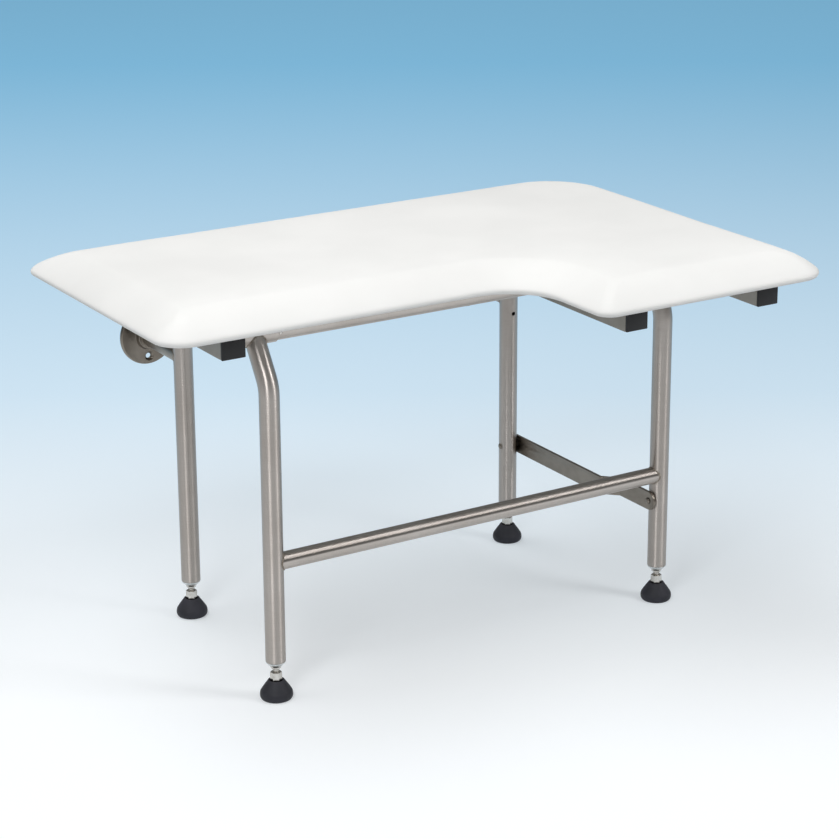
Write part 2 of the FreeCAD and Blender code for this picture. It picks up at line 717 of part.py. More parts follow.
def make_strap():
    """Makes the flat folding strap with its sideways joggle and rounded ends."""
    half = "Sizes.strap_height / 2"
    back = f"Places.rear_leg_line + {half}"
    front = f"Places.front_leg_line - {half}"
    joggle_front = "Places.front_leg_line + Sizes.joggle_reach"
    joggle_back = "Places.front_leg_line + Sizes.joggle_reach + Sizes.joggle_run"
    lean = "Sizes.strap_thickness * tan(atan(Sizes.joggle_offset / Sizes.joggle_run) / 2)"
    rear_in = "Places.strap_rear_face"
    rear_out = "Places.strap_rear_face + Sizes.strap_thickness"
    front_in = "Places.strap_front_face - Sizes.strap_thickness"
    front_out = "Places.strap_front_face"
    body = doc.addObject("PartDesign::Body", "StrapBar")
    sketch = new_sketch(body, "StrapPlan", "XY_Plane")
    draw_polygon(sketch, [
        (rear_in, back), (rear_out, back), (rear_out, f"{joggle_back} + {lean}"),
        (front_out, f"{joggle_front} + {lean}"), (front_out, front), (front_in, front),
        (front_in, joggle_front), (rear_in, joggle_back),
    ])
    bar = body.newObject("PartDesign::Pad", "StrapBlank")
    bar.Profile = sketch
    bind(bar, Length="Sizes.strap_height")
    place(body, z=f"Sizes.strap_level - {half}")
    ends = []
    for name, line, sign in (("Rear", "Places.rear_leg_line", 1), ("Front", "Places.front_leg_line", -1)):
        corner = block(f"Strap{name}Corner", "8 * Sizes.strap_height", "Sizes.strap_height", "2 * Sizes.strap_height",
                       "Places.strap_rear_face", line if sign > 0 else f"{line} - Sizes.strap_height",
                       "Sizes.strap_level - Sizes.strap_height")
        round_end = cylinder(f"Strap{name}Round", "Sizes.strap_height", "10 * Sizes.strap_height", "x",
                             "Places.strap_rear_face - 5 * Sizes.strap_height", line, "Sizes.strap_level")
        ends.append(cut(f"Strap{name}Waste", corner, round_end))
    holes = [
        cylinder("StrapRearHole", "Sizes.bolt_diameter + 2 * Sizes.running_gap", "2 * Sizes.strap_height", "x",
                 "Places.strap_rear_face - Sizes.strap_height", "Places.rear_leg_line", "Sizes.strap_level"),
        cylinder("StrapFrontHole", "Sizes.bolt_diameter + 2 * Sizes.open_pivot_gap", "2 * Sizes.strap_height", "x",
                 "Places.strap_front_face - Sizes.strap_height", "Places.front_leg_line", "Sizes.strap_level"),
    ]
    keep(cut("Strap", body, *ends, *holes), "folding_strap")


def make_strap_bolt(end, start, finish, line):
    """Makes a bolt that joins a leg and the strap, with its round head on the left and a nut at its right end."""
    name = title(end) + "Bolt"
    rod = cylinder(name + "Rod", "Sizes.bolt_diameter", f"({finish}) - ({start})", "x", start, line,
                   "Sizes.strap_level")
    head = cone(name + "Head", "Sizes.bolt_head * Sizes.head_top_share", "Sizes.bolt_head", "Sizes.bolt_head_rise", "x",
                f"{start} - Sizes.bolt_head_rise", line, "Sizes.strap_level")
    nut_x = f"({finish}) - Sizes.strap_nut_height"
    nut = hexagon(name + "NutHex", "Sizes.strap_nut_flats", "Sizes.strap_nut_height", "x", nut_x, line,
                  "Sizes.strap_level")
    bore = cylinder(name + "NutBore", "Sizes.bolt_diameter + 2 * Sizes.weld_gap", "Sizes.strap_nut_height", "x",
                    nut_x, line, "Sizes.strap_level")
    keep(fuse(name, rod, head), f"{end}_strap_bolt")
    keep(cut(name + "Nut", nut, bore), f"{end}_strap_nut")


def make_strap_bolts():
    """Makes the bolt through the rear right leg and the one that ends in a nut inside the front right leg."""
    half = "Sizes.leg_diameter / 2"
    make_strap_bolt(
        "rear", f"Places.rear_right - {half}",
        "Places.strap_rear_face + Sizes.strap_thickness + Sizes.side_gap + Sizes.strap_nut_height",
        "Places.rear_leg_line")
    make_strap_bolt(
        "front", "Places.strap_front_face - Sizes.strap_thickness - Sizes.side_gap",
        f"Places.front_right - {half} + Sizes.leg_wall + Sizes.strap_nut_sink + Sizes.strap_nut_height",
        "Places.front_leg_line")


def check_document():
    """Stops when any object failed or any sub-part is not sound."""
    for thing in doc.Objects:
        if "Invalid" in thing.State or "Error" in thing.State:
            raise RuntimeError(f"{thing.Name} failed: {thing.State}")
    for node in nodes:
        if node.Shape.isNull() or not node.Shape.isValid() or not node.Shape.Solids:
            raise RuntimeError(f"{node.Label} has no sound shape")


def export():
    """Writes each sub-part's shape under its own name."""
    os.makedirs("parts", exist_ok=True)
    for node in nodes:
        node.Shape.exportStep(f"parts/{node.Label}.step")
        print(f"{node.Label}: {len(node.Shape.Solids)} solid(s), {node.Shape.Volume / 1000:.1f} cm3")


make_pad()
make_board()
for side_name in RAILS:
    make_rail(side_name)
make_caps()
make_seat_screws()
make_pivot_tubes()
for leg_name in LEGS:
    make_leg(leg_name)
    make_sleeve(leg_name)
    make_leg_plug(leg_name)
    make_foot(leg_name)
for end_name in ("rear", "front"):
    make_jam_nuts(end_name)
for flange_side in ("left", "right"):
    make_flange(flange_side)
    make_stub(flange_side)
make_crossbar()
make_strap()
make_strap_bolts()

doc.recompute()
check_document()
export()
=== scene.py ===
"""Looks of the fold down wall seat, laid over its CAD frame.

Lengths are metres. x runs to the right, y towards the wall and z up, as in the frame.
"""
from __future__ import annotations

import json
import logging
import math
from dataclasses import dataclass, field
from enum import Enum

import bmesh
import bpy
from bmesh.types import BMesh, BMVert
from bpy.types import Material, Node, NodeSocket, NodeTree, Object
from mathutils import Matrix, Vector, geometry, kdtree, noise

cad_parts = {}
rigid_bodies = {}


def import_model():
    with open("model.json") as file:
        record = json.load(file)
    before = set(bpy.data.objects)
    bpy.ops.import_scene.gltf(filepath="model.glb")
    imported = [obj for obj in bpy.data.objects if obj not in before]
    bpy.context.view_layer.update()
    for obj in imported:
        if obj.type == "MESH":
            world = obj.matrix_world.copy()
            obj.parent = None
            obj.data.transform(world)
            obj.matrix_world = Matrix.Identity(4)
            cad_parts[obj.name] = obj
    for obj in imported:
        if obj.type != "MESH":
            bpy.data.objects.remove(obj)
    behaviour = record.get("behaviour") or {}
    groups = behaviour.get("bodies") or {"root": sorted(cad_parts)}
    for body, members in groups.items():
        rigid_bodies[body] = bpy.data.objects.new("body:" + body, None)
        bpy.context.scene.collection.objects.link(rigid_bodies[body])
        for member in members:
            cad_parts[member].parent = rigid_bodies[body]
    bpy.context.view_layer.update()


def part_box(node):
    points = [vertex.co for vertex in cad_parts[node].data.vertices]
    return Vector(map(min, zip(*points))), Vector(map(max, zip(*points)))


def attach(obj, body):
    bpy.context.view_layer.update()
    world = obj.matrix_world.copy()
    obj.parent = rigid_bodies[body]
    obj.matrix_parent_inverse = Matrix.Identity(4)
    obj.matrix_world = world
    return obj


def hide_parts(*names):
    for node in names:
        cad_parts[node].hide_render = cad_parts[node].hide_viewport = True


log = logging.getLogger("wall_seat")

MM = 0.001
MERGE_DISTANCE = 1e-6
# Degrees up to which edges are shaded smooth, on turned forms and on nuts
TURNED_SMOOTH = 40.0
NUT_SMOOTH = 25.0
RIGHT = Vector((1, 0, 0))
BACK = Vector((0, 1, 0))
UP = Vector((0, 0, 1))
SIDES = ("left", "middle", "right")
ENDS = ("rear", "front")
ROW = tuple[float, float]
SPOT = tuple[float, float, float]


class Body(Enum):
    """Bodies of the frame that pieces ride on."""

    WALL_FRAME = "wall_frame"
    SEAT = "seat"
    FRONT_LEGS = "front_legs"
    STRAP = "strap"


class Slot(Enum):
    """Material slots of the record."""

    FOAM = "white_foam"
    SATIN = "satin_stainless"
    BRIGHT = "bright_stainless"
    PLASTIC = "black_plastic"
    RUBBER = "black_rubber"


class Grain(Enum):
    """Axis that the fine scratches of a linished metal run along."""

    CROSSWAYS = (1, 0, 0)
    UPRIGHT = (0, 0, 1)


class Leg(Enum):
    """The four legs, with the body that carries each."""

    REAR_LEFT = ("rear_left", Body.WALL_FRAME)
    REAR_RIGHT = ("rear_right", Body.WALL_FRAME)
    FRONT_LEFT = ("front_left", Body.FRONT_LEGS)
    FRONT_RIGHT = ("front_right", Body.FRONT_LEGS)

    @property
    def title(self) -> str:
        """Gives the leg's name as the frame's nodes start."""
        return self.value[0]

    @property
    def foot(self) -> Vector:
        """Gives the point on the floor under the leg's axis."""
        low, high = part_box(f"{self.title}_rubber_foot")
        return Vector(((low.x + high.x) / 2, (low.y + high.y) / 2, 0))

    @property
    def carrier(self) -> Body:
        """Gives the body that the leg belongs to."""
        return self.value[1]


def middle(node: str) -> Vector:
    """Gives the middle of a CAD node's box."""
    low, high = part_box(node)
    return (low + high) / 2


def clamp(value: float) -> float:
    """Holds a value between nought and one."""
    return min(1.0, max(0.0, value))


def circle(steps: int) -> list[float]:
    """Lists the angles of one full turn in even steps."""
    return [math.tau * step / steps for step in range(steps)]


def polar(radius: float, turn: float, height: float = 0.0) -> Vector:
    """Gives the point at a radius, an angle and a height."""
    return Vector((radius * math.cos(turn), radius * math.sin(turn), height))


def stand(place: Vector, axis: Vector) -> Matrix:
    """Gives the move that takes the origin to a place and z to an axis."""
    return Matrix.Translation(place) @ UP.rotation_difference(axis).to_matrix().to_4x4()


def dome(radius: float, rise: float, degrees: tuple[int, ...]) -> list[ROW]:
    """Lists radius and height of a dome's surface at some angles over its rim."""
    return [(radius * math.cos(a), rise * math.sin(a)) for a in map(math.radians, degrees)]


def linear(code: str) -> tuple[float, float, float, float]:
    """Turns an sRGB hex colour into a linear one, by the curve of that standard.

    Args:
        code: The colour as #rrggbb.

    Returns:
        Red, green, blue and an alpha of one.
    """
    parts = [int(code[start:start + 2], 16) / 255 for start in (1, 3, 5)]
    red, green, blue = (p / 12.92 if p <= 0.04045 else ((p + 0.055) / 1.055) ** 2.4 for p in parts)
    return red, green, blue, 1.0


def link(piece: Object) -> Object:
    """Puts an object in the scene."""
    bpy.context.scene.collection.objects.link(piece)
    return piece


def new_piece(name: str, build: BMesh, smooth_angle: float | None) -> Object:
    """Makes an object of a bmesh whose places are in the mesh.

    Args:
        name: The piece's name.
        build: The shape, which is freed.
        smooth_angle: Degrees up to which edges are shaded smooth, or None for flat.

    Returns:
        The new object, at the origin.
    """
    mesh = bpy.data.meshes.new(name)
    build.to_mesh(mesh)
    build.free()
    piece = link(bpy.data.objects.new(name, mesh))
    if smooth_angle is not None:
        mesh.shade_smooth()
        mesh.set_sharp_from_angle(angle=math.radians(smooth_angle))
    return piece


def dress(piece: Object, material: Material) -> None:
    """Gives every face of a piece one material."""
    piece.data.materials.clear()
    piece.data.materials.append(material)


def repaint(node: str, material: Material) -> None:
    """Puts a finish on every slot of a CAD node.

    Args:
        node: The node's name.
        material: The finish.
    """
    for place in bpy.data.objects[node].material_slots:
        place.material = material
    log.info("%s wears %s", node, material.name)


def settle(piece: Object, body: str, slot: Slot, *nodes: str) -> None:
    """Rides a piece on a body and hides the nodes that it stands for.

    Args:
        piece: The finished piece.
        body: The body's name.
        slot: The record's material slot; not used.
        nodes: CAD nodes that it replaces.
    """
    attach(piece, body)
    if nodes:
        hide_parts(*nodes)
    log.info("%s rides on %s", piece.name, body)


def finish_piece(
    build: BMesh,
    name: str,
    smooth_angle: float,
    material: Material,
    body: str,
    slot: Slot,
    node: str,
    merge: bool = True,
) -> None:
    """Turns a bmesh into a dressed piece that stands for one CAD node.

    Args:
        build: The shape, which is freed.
        name: The piece's name.
        smooth_angle: Degrees up to which edges are shaded smooth.
        material: The finish that it wears.
        body: The body's name.
        slot: The record's material slot.
        node: The CAD node that it replaces.
        merge: Whether doubles are merged and faces pointed outwards first.
    """
    if merge:
        finish_normals(build)
    piece = new_piece(name, build, smooth_angle)
    dress(piece, material)
    settle(piece, body, slot, node)


def bake_modifiers(piece: Object) -> None:
    """Turns a piece and its modifiers into one plain mesh.

    Args:
        piece: The piece, which keeps its name.
    """
    bpy.context.view_layer.update()
    graph = bpy.context.evaluated_depsgraph_get()
    mesh = bpy.data.meshes.new_from_object(piece.evaluated_get(graph), depsgraph=graph)
    piece.modifiers.clear()
    piece.data = mesh
    mesh.name = piece.name


def finish_normals(build: BMesh) -> None:
    """Merges doubles and points the faces outwards."""
    bmesh.ops.remove_doubles(build, verts=build.verts, dist=MERGE_DISTANCE)
    bmesh.ops.recalc_face_normals(build, faces=build.faces)


def bridge(build: BMesh, rings: list[list[BMVert]], close: bool) -> None:
    """Joins each ring of vertices to the next.

    Args:
        build: The bmesh that holds them.
        rings: Rings of the same count, or of one vertex at a pole.
        close: Whether the last ring joins the first.
    """
    steps = max(len(ring) for ring in rings)
    for lower, upper in zip(rings, rings[1:] + (rings[:1] if close else [])):
        for step in range(steps):
            following = (step + 1) % steps
            corners = [lower[step % len(lower)], lower[following % len(lower)],
                       upper[following % len(upper)], upper[step % len(upper)]]
            unique = list(dict.fromkeys(corners))
            if len(unique) > 2:
                build.faces.new(unique)


def add_lathe(build: BMesh, profile: list[ROW], place: Vector, axis: Vector, steps: int = 96) -> None:
    """Adds a closed turned form to a bmesh.

    Args:
        build: The bmesh that gets it.
        profile: Radius and height pairs from one pole or rim round to the other.
        place: The point that height zero lies at.
        axis: The direction of height.
        steps: Faces round the form.
    """
    turned = stand(place, axis)
    rings = []
    for radius, height in profile:
        turns = circle(steps) if radius else [0.0]
        rings.append([build.verts.new(turned @ polar(radius, turn, height)) for turn in turns])
    bridge(build, rings, profile[0][0] != 0 and profile[-1][0] != 0)


def add_hex(
    build: BMesh, flats: float, height: float, bore: float, place: Vector, axis: Vector, steps: int = 72
) -> None:
    """Adds a hexagonal nut with turned chamfers to a bmesh.

    Args:
        build: The bmesh that gets it.
        flats: Distance over the flats.
        height: The nut's height.
        bore: Diameter of its hole.
        place: Centre of its lower face.
        axis: The direction of its height.
        steps: Points round it, a multiple of twelve.
    """
    face_share, chamfer, side = 0.96, math.radians(30), math.pi / 3
    turned = stand(place, axis)
    apothem = flats / 2
    face = apothem * face_share
    rings: list[list[BMVert]] = [[] for _ in range(6)]
    for turn in circle(steps):
        off_flat = (turn + side / 2) % side - side / 2
        reach = apothem / math.cos(off_flat)
        drop = (reach - face) * math.tan(chamfer)
        places = [(bore / 2, 0), (face, 0), (reach, drop), (reach, height - drop), (face, height),
                  (bore / 2, height)]
        for ring, (radius, rise) in zip(rings, places):
            ring.append(build.verts.new(turned @ polar(radius, turn, rise)))
    bridge(build, rings, True)


def add_node(
    tree: NodeTree,
    kind: str,
    props: dict[str, object] | None = None,
    values: dict[str | int, object] | None = None,
    links: dict[str | int, NodeSocket] | None = None,
) -> Node:
    """Adds one node to a tree.

    Args:
        tree: The tree that gets the node.
        kind: The node's type.
        props: Properties to set on it.
        values: Input values, by the input's name or number.
        links: Output sockets to link, by the input's name or number.

    Returns:
        The new node.
    """
    node = tree.nodes.new(kind)
    for name, value in (props or {}).items():
        setattr(node, name, value)
    for name, value in (values or {}).items():
        node.inputs[name].default_value = value
    for name, socket in (links or {}).items():
        tree.links.new(socket, node.inputs[name])
    return node


def calculate(tree: NodeTree, operation: str, *inputs: float | NodeSocket) -> NodeSocket:
    """Adds one sum to a tree.

    Args:
        tree: The tree that gets it.
        operation: The sum's name.
        inputs: Numbers or output sockets, in their order.

    Returns:
        The socket with the result.
    """
    links = {index: given for index, given in enumerate(inputs) if isinstance(given, NodeSocket)}
    values = {index: given for index, given in enumerate(inputs) if index not in links}
    return add_node(tree, "ShaderNodeMath", {"operation": operation}, values, links).outputs["Value"]


def add_noise(
    tree: NodeTree, where: NodeSocket, scale: float, detail: float = 3.0, roughness: float = 0.5
) -> NodeSocket:
    """Adds a noise texture to a material.

    Args:
        tree: The material's tree.
        where: The places that it is laid over.
        scale: How fine it is.
        detail: How many finer layers it has.
        roughness: How strong those layers are.

    Returns:
        The socket with the noise, about a half.
    """
    values = {"Scale": scale, "Detail": detail, "Roughness": roughness}
    return add_node(tree, "ShaderNodeTexNoise", values=values, links={"Vector": where}).outputs["Fac"]


def start_material(name: str, values: dict[str, float]) -> tuple[Material, Node]:
    """Makes a material with some values set on its shader.

    Args:
        name: The material's name.
        values: Values by the name of the shader's input.

    Returns:
        The material and its shader.
    """
    made = bpy.data.materials.new(name)
    made.use_nodes = True
    shader = made.node_tree.nodes["Principled BSDF"]
    for label, value in values.items():
        shader.inputs[label].default_value = value
    return made, shader


@dataclass(frozen=True)
class MottledFinish:
    """A surface whose colour and gloss drift a little, over a fine bumpy texture."""

    name: str
    tone: str
    deep_tone: str
    roughness: float
    texture_size: float
    texture_depth: float
    cloud_size: float = 30 * MM
    metallic: float = 0.0
    specular: float = 0.5
    texture_strength: float = 0.3
    gloss_drift: ROW = (-0.04, 0.05)
    tone_places: ROW = (0.35, 0.65)
    drift_range: ROW = (0.3, 0.7)

    def textures(self, tree: NodeTree, shader: Node) -> tuple[NodeSocket, NodeSocket]:
        """Adds the clouds that colour and gloss follow, and the fine texture.

        Args:
            tree: The material's tree.
            shader: Its shader.

        Returns:
            The sockets with the clouds and with the texture's height.
        """
        where = add_node(tree, "ShaderNodeTexCoord").outputs["Object"]
        clouds = add_noise(tree, where, 1 / self.cloud_size)
        return clouds, add_noise(tree, where, 1 / self.texture_size, detail=2.0)

    def material(self) -> Material:
        """Builds the material.

        Returns:
            The new material.
        """
        made, shader = start_material(
            self.name, {"Metallic": self.metallic, "Specular IOR Level": self.specular})
        tree = made.node_tree
        clouds, height = self.textures(tree, shader)
        colour = add_node(tree, "ShaderNodeValToRGB", links={"Fac": clouds})
        tones = (self.deep_tone, self.tone)
        for element, place, tone in zip(colour.color_ramp.elements, self.tone_places, tones):
            element.position = place
            element.color = linear(tone)
        low, high = self.drift_range
        smooth, rough = (self.roughness + drift for drift in self.gloss_drift)
        gloss = add_node(tree, "ShaderNodeMapRange", links={"Value": clouds},
                         values={"From Min": low, "From Max": high, "To Min": smooth, "To Max": rough})
        relief = add_node(tree, "ShaderNodeBump", links={"Height": height},
                          values={"Strength": self.texture_strength, "Distance": self.texture_depth})
        tree.links.new(colour.outputs["Color"], shader.inputs["Base Color"])
        tree.links.new(gloss.outputs["Result"], shader.inputs["Roughness"])
        tree.links.new(relief.outputs["Normal"], shader.inputs["Normal"])
        return made


@dataclass(frozen=True)
class LinishedFinish(MottledFinish):
    """Tube linished round its girth with a fine belt, so lamps draw out into long soft streaks."""

    along: Grain = Grain.UPRIGHT
    anisotropy: float = 1.0
    mark_length: float = 12 * MM
    mark_share: float = 0.35

    def textures(self, tree: NodeTree, shader: Node) -> tuple[NodeSocket, NodeSocket]:
        """Adds marks drawn out round the tube, which colour and gloss follow too.

        Args:
            tree: The material's tree.
            shader: Its shader, whose shine is turned along the tube.

        Returns:
            The sockets with the clouds and with the marks.
        """
        # The axis of the tube, turned with the piece, is the way that reflections are drawn out
        axis = add_node(tree, "ShaderNodeVectorTransform",
                        {"vector_type": "VECTOR", "convert_from": "OBJECT", "convert_to": "WORLD"},
                        {"Vector": self.along.value})
        tree.links.new(axis.outputs["Vector"], shader.inputs["Tangent"])
        shader.inputs["Anisotropic"].default_value = self.anisotropy
        where = add_node(tree, "ShaderNodeTexCoord").outputs["Object"]
        scale = [1 / (self.texture_size if along else self.mark_length) for along in self.along.value]
        drawn = add_node(tree, "ShaderNodeMapping", values={"Scale": scale}, links={"Vector": where})
        marks = add_noise(tree, drawn.outputs["Vector"], 1.0, roughness=0.6)
        clouds = add_noise(tree, where, 1 / self.cloud_size)
        part = calculate(tree, "MULTIPLY", marks, self.mark_share)
        return calculate(tree, "MULTIPLY_ADD", clouds, 1 - self.mark_share, part), marks


class Finishes:
    """Every finish of the seat, made once."""

    def __init__(self) -> None:
        """Builds the materials."""
        # Type 304 stainless tube: warm grey, with a streak along it from every lamp
        self.tube = {
            grain: LinishedFinish(
                f"linished_stainless_{grain.name.lower()}", "#cac3bd", "#b8b0a9", roughness=0.36,
                texture_size=0.5 * MM, texture_depth=0.02 * MM, cloud_size=70 * MM, metallic=1.0,
                texture_strength=0.03, gloss_drift=(-0.03, 0.04), along=grain).material()
            for grain in Grain}
        # Flat bar and plate are linished along their length and look duller than the tubes
        self.plate = MottledFinish(
            "brushed_stainless_plate", "#918a81", "#7d766d", roughness=0.33, texture_size=0.9 * MM,
            texture_depth=0.03 * MM, cloud_size=40 * MM, metallic=1.0, texture_strength=0.1).material()
        # Machined stainless of nuts and screws: pale and sharp, with small bright facets
        self.hardware = MottledFinish(
            "machined_stainless", "#d9d6d1", "#bfbbb4", roughness=0.20, texture_size=0.6 * MM,
            texture_depth=0.02 * MM, cloud_size=6 * MM, metallic=1.0).material()
        # The legs' turned plugs are zinc plated: pale, and softer in shine than the nuts
        self.plug = MottledFinish(
            "zinc_plated_plug", "#e9ecec", "#d6dada", roughness=0.42, texture_size=0.6 * MM,
            texture_depth=0.02 * MM, cloud_size=8 * MM, metallic=1.0).material()
        # Welds are brushed clean and a little duller and browner than the tube
        self.weld = MottledFinish(
            "brushed_weld_stainless", "#a39b90", "#837a6f", roughness=0.36, texture_size=0.8 * MM,
            texture_depth=0.05 * MM, cloud_size=5 * MM, metallic=1.0).material()
        # White plastic board, dull and slightly scuffed underneath
        self.board = MottledFinish(
            "white_plastic_board", "#dcdcda", "#cfcfcc", roughness=0.55, texture_size=3 * MM,
            texture_depth=0.05 * MM, cloud_size=60 * MM).material()
        # Moulded polyethylene, matt black with a fine spark texture
        self.cap = MottledFinish(
            "moulded_polyethylene", "#1d1d20", "#151517", roughness=0.48, texture_size=0.7 * MM,
            texture_depth=0.05 * MM, specular=0.4).material()
        # Moulded rubber, a little bluer and softer than the caps
        self.rubber = MottledFinish(
            "moulded_rubber", "#3a3a42", "#2d2e34", roughness=0.6, texture_size=1.0 * MM,
            texture_depth=0.06 * MM, specular=0.35).material()
        # Integral skin polyurethane foam: white, soft sheen, very fine pebble
        self.foam = MottledFinish(
            "integral_skin_foam", "#f4f4f2", "#efefed", roughness=0.62, texture_size=1.6 * MM,
            texture_depth=0.06 * MM, cloud_size=160 * MM, specular=0.25, texture_strength=0.25).material()


@dataclass(frozen=True)
class Corner:
    """One corner of the seat's plan; bend is 1 where it turns outwards and -1 at the notch."""

    x: float
    y: float
    radius: float
    bend: int


@dataclass
class Cushion:
    """The moulded foam seat: crowned, with a rolled edge, a thin lip and a recess for its board."""

    finishes: Finishes
    narrow_depth: float = 0.4106
    deep_width: float = 0.3564
    lip: float = 0.0062
    tuck: float = 0.0037
    crown: float = 0.028
    roll: float = 0.0517
    roll_bias: float = 1.5
    fullness: float = 1.3
    flatness: float = 0.84
    recess_inset: float = 0.0157
    recess_height: float = 0.0093
    recess_band: float = 0.004
    sole_edge: float = 0.002
    lip_nick: float = 0.0002
    # Shares of the tuck and of the lip's height, from the underside to the outermost line
    lip_shape: tuple[ROW, ...] = ((0.6, 0.18), (0.25, 0.45), (0.06, 0.75), (0, 1.06))
    least_corner: float = 0.012
    spacing: float = 0.007
    # Half the square grid that covers the plan, and how near to the rim and to each other its points lie
    grid_reach: float = 0.43
    fill_spacing: float = 0.009
    recess_spacing: float = 0.03
    rim_gap: float = 0.6
    line_pitch: float = 0.866
    least_gap: float = 1e-7
    arc_steps: int = 14
    roll_steps: int = 16
    lip_rounding: int = 7
    rounded_rows: int = 9
    spread: float = 0.0003
    slack: float = 0.0010
    swell: float = 0.0020
    pressure: float = 9.0
    cloth_quality: int = 4
    cloth_stiffness: float = 30
    cloth_bending: float = 2
    frames: int = 20
    least_reach: float = 1e-9
    ironing: int = 30
    unevenness: float = 0.0004
    drift_scale: float = 9.0
    fine_drift_scale: float = 24.0
    fine_drift_share: float = 0.4
    fine_drift_place: SPOT = (5, 1, 3)
    shoulder_start: float = 0.35
    shoulder_slope: float = 2.5
    smoothing: int = 16
    crease: float = 60.0
    corners: list[Corner] = field(init=False)
    base: float = field(init=False)

    def __post_init__(self) -> None:
        """Finds the plan's corners from the CAD cushion."""
        low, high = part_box("seat_pad")
        notch_x, notch_y = high.x - self.deep_width, high.y - self.narrow_depth
        self.base = low.z
        self.corners = [
            Corner(low.x, high.y, 0.020, 1),
            Corner(high.x, high.y, 0.120, 1),
            Corner(high.x, low.y, 0.044, 1),
            Corner(notch_x, low.y, 0.022, 1),
            Corner(notch_x, notch_y, 0.073, -1),
            Corner(low.x, notch_y, 0.040, 1),
        ]

    def outline(self, inset: float, height: float) -> list[Vector]:
        """Lists points round the plan, moved in by an inset.

        Args:
            inset: Distance from the outermost line.
            height: Height of every point.

        Returns:
            Points clockwise from above, as many for any inset.
        """
        joints = []
        for index, here in enumerate(self.corners):
            before = self.corners[index - 1]
            after = self.corners[(index + 1) % len(self.corners)]
            arriving = Vector((here.x - before.x, here.y - before.y, 0)).normalized()
            leaving = Vector((after.x - here.x, after.y - here.y, 0)).normalized()
            inward_in = Vector((arriving.y, -arriving.x, 0))
            inward_out = Vector((leaving.y, -leaving.x, 0))
            corner = Vector((here.x, here.y, height)) + (inward_in + inward_out) * inset
            radius = max(here.radius - here.bend * inset, self.least_corner)
            start = corner - arriving * radius
            end = corner + leaving * radius
            centre = start + inward_in * radius * here.bend
            joints.append((start, end, centre))
        points: list[Vector] = []
        for index, (start, end, centre) in enumerate(joints):
            for step in range(self.arc_steps + 1):
                turn = math.pi / 2 * step / self.arc_steps
                points.append(centre + (start - centre) * math.cos(turn) + (end - centre) * math.sin(turn))
            following = joints[(index + 1) % len(joints)][0]
            here, after = self.corners[index], self.corners[(index + 1) % len(self.corners)]
            straight = math.dist((here.x, here.y), (after.x, after.y)) - here.radius - after.radius
            count = max(2, round(straight / self.spacing))
            points += [end.lerp(following, step / count) for step in range(1, count)]
        return points

    def levels(self) -> list[ROW]:
        """Lists insets and heights from the recess edge, round the lip, up to the crown.

        Returns:
            Inset and height of each row of the skin.
        """
        base = self.base
        inset, band = self.recess_inset, self.recess_band
        recess = [(inset, base + self.recess_height), (inset, base + band), (inset, base),
                  (inset - band, base)]
        rows = [(self.tuck + self.sole_edge, base), (self.tuck - self.lip_nick, base + self.lip_nick)]
        first = len(rows)
        last = first + self.rounded_rows
        rows += [(self.tuck * share, base + self.lip * rise) for share, rise in self.lip_shape]
        for step in range(1, self.roll_steps + 1):
            share = (step / self.roll_steps) ** self.roll_bias
            rise = (1 - (1 - share) ** self.fullness) ** self.flatness
            rows.append((self.roll * share, base + self.lip + (self.crown - self.slack) * rise))
        # The moulding has no crease between its lip and its roll, so the rows there are evened out
        for _ in range(self.lip_rounding):
            trios = [zip(*rows[index - 1:index + 2]) for index in range(first, last)]
            rows[first:last] = [
                tuple((before + 2 * here + after) / 4 for before, here, after in trio) for trio in trios]
        # Evening out draws the lip in, so it is moved back to the outermost line
        drawn_in = min(inset for inset, _ in rows) + self.spread
        return recess + [(inset - drawn_in, height) for inset, height in rows]

    def fill(self, build: BMesh, rim: list[BMVert], spacing: float, up: bool) -> None:
        """Fills a flat region inside a closed rim with small triangles.

        Args:
            build: The bmesh that holds the rim.
            rim: The rim's vertices in order.
            spacing: Distance between inner points.
            up: Whether the faces look up.
        """
        tree = kdtree.KDTree(len(rim))
        for index, vert in enumerate(rim):
            tree.insert(vert.co, index)
        tree.balance()
        height = rim[0].co.z
        flat = [Vector(v.co.xy) for v in rim]
        inner: list[Vector] = []
        for column in range(int(2 * self.grid_reach / spacing)):
            for line in range(int(2 * self.grid_reach / spacing)):
                spot = Vector((-self.grid_reach + (column + 0.5 * (line % 2)) * spacing,
                               -self.grid_reach + line * spacing * self.line_pitch, height))
                if tree.find(spot)[2] > self.rim_gap * spacing and inside(spot, flat):
                    inner.append(spot.xy)
        # Output type 1 keeps only the triangles inside the rim
        result = geometry.delaunay_2d_cdt(flat + inner, [], [list(range(len(flat)))], 1, self.least_gap)
        verts = list(rim)
        for spot in result[0][len(rim):]:
            verts.append(build.verts.new((spot.x, spot.y, height)))
        for corners in result[2]:
            a, b, c = (verts[corner] for corner in corners)
            turn = (b.co - a.co).cross(c.co - a.co).z
            build.faces.new((a, b, c) if (turn > 0) == up else (a, c, b))

    def shell(self) -> Object:
        """Builds the closed form before it swells.

        Returns:
            The cushion as a plain closed mesh.
        """
        build = bmesh.new()
        rings = [[build.verts.new(p) for p in self.outline(inset, height)] for inset, height in self.levels()]
        for lower, upper in zip(rings, rings[1:]):
            for index in range(len(lower)):
                following = (index + 1) % len(lower)
                build.faces.new((lower[following], lower[index], upper[index], upper[following]))
        self.fill(build, rings[-1], self.fill_spacing, True)
        self.fill(build, rings[0], self.recess_spacing, False)
        bmesh.ops.recalc_face_normals(build, faces=build.faces)
        return new_piece("seat_cushion", build, self.crease)

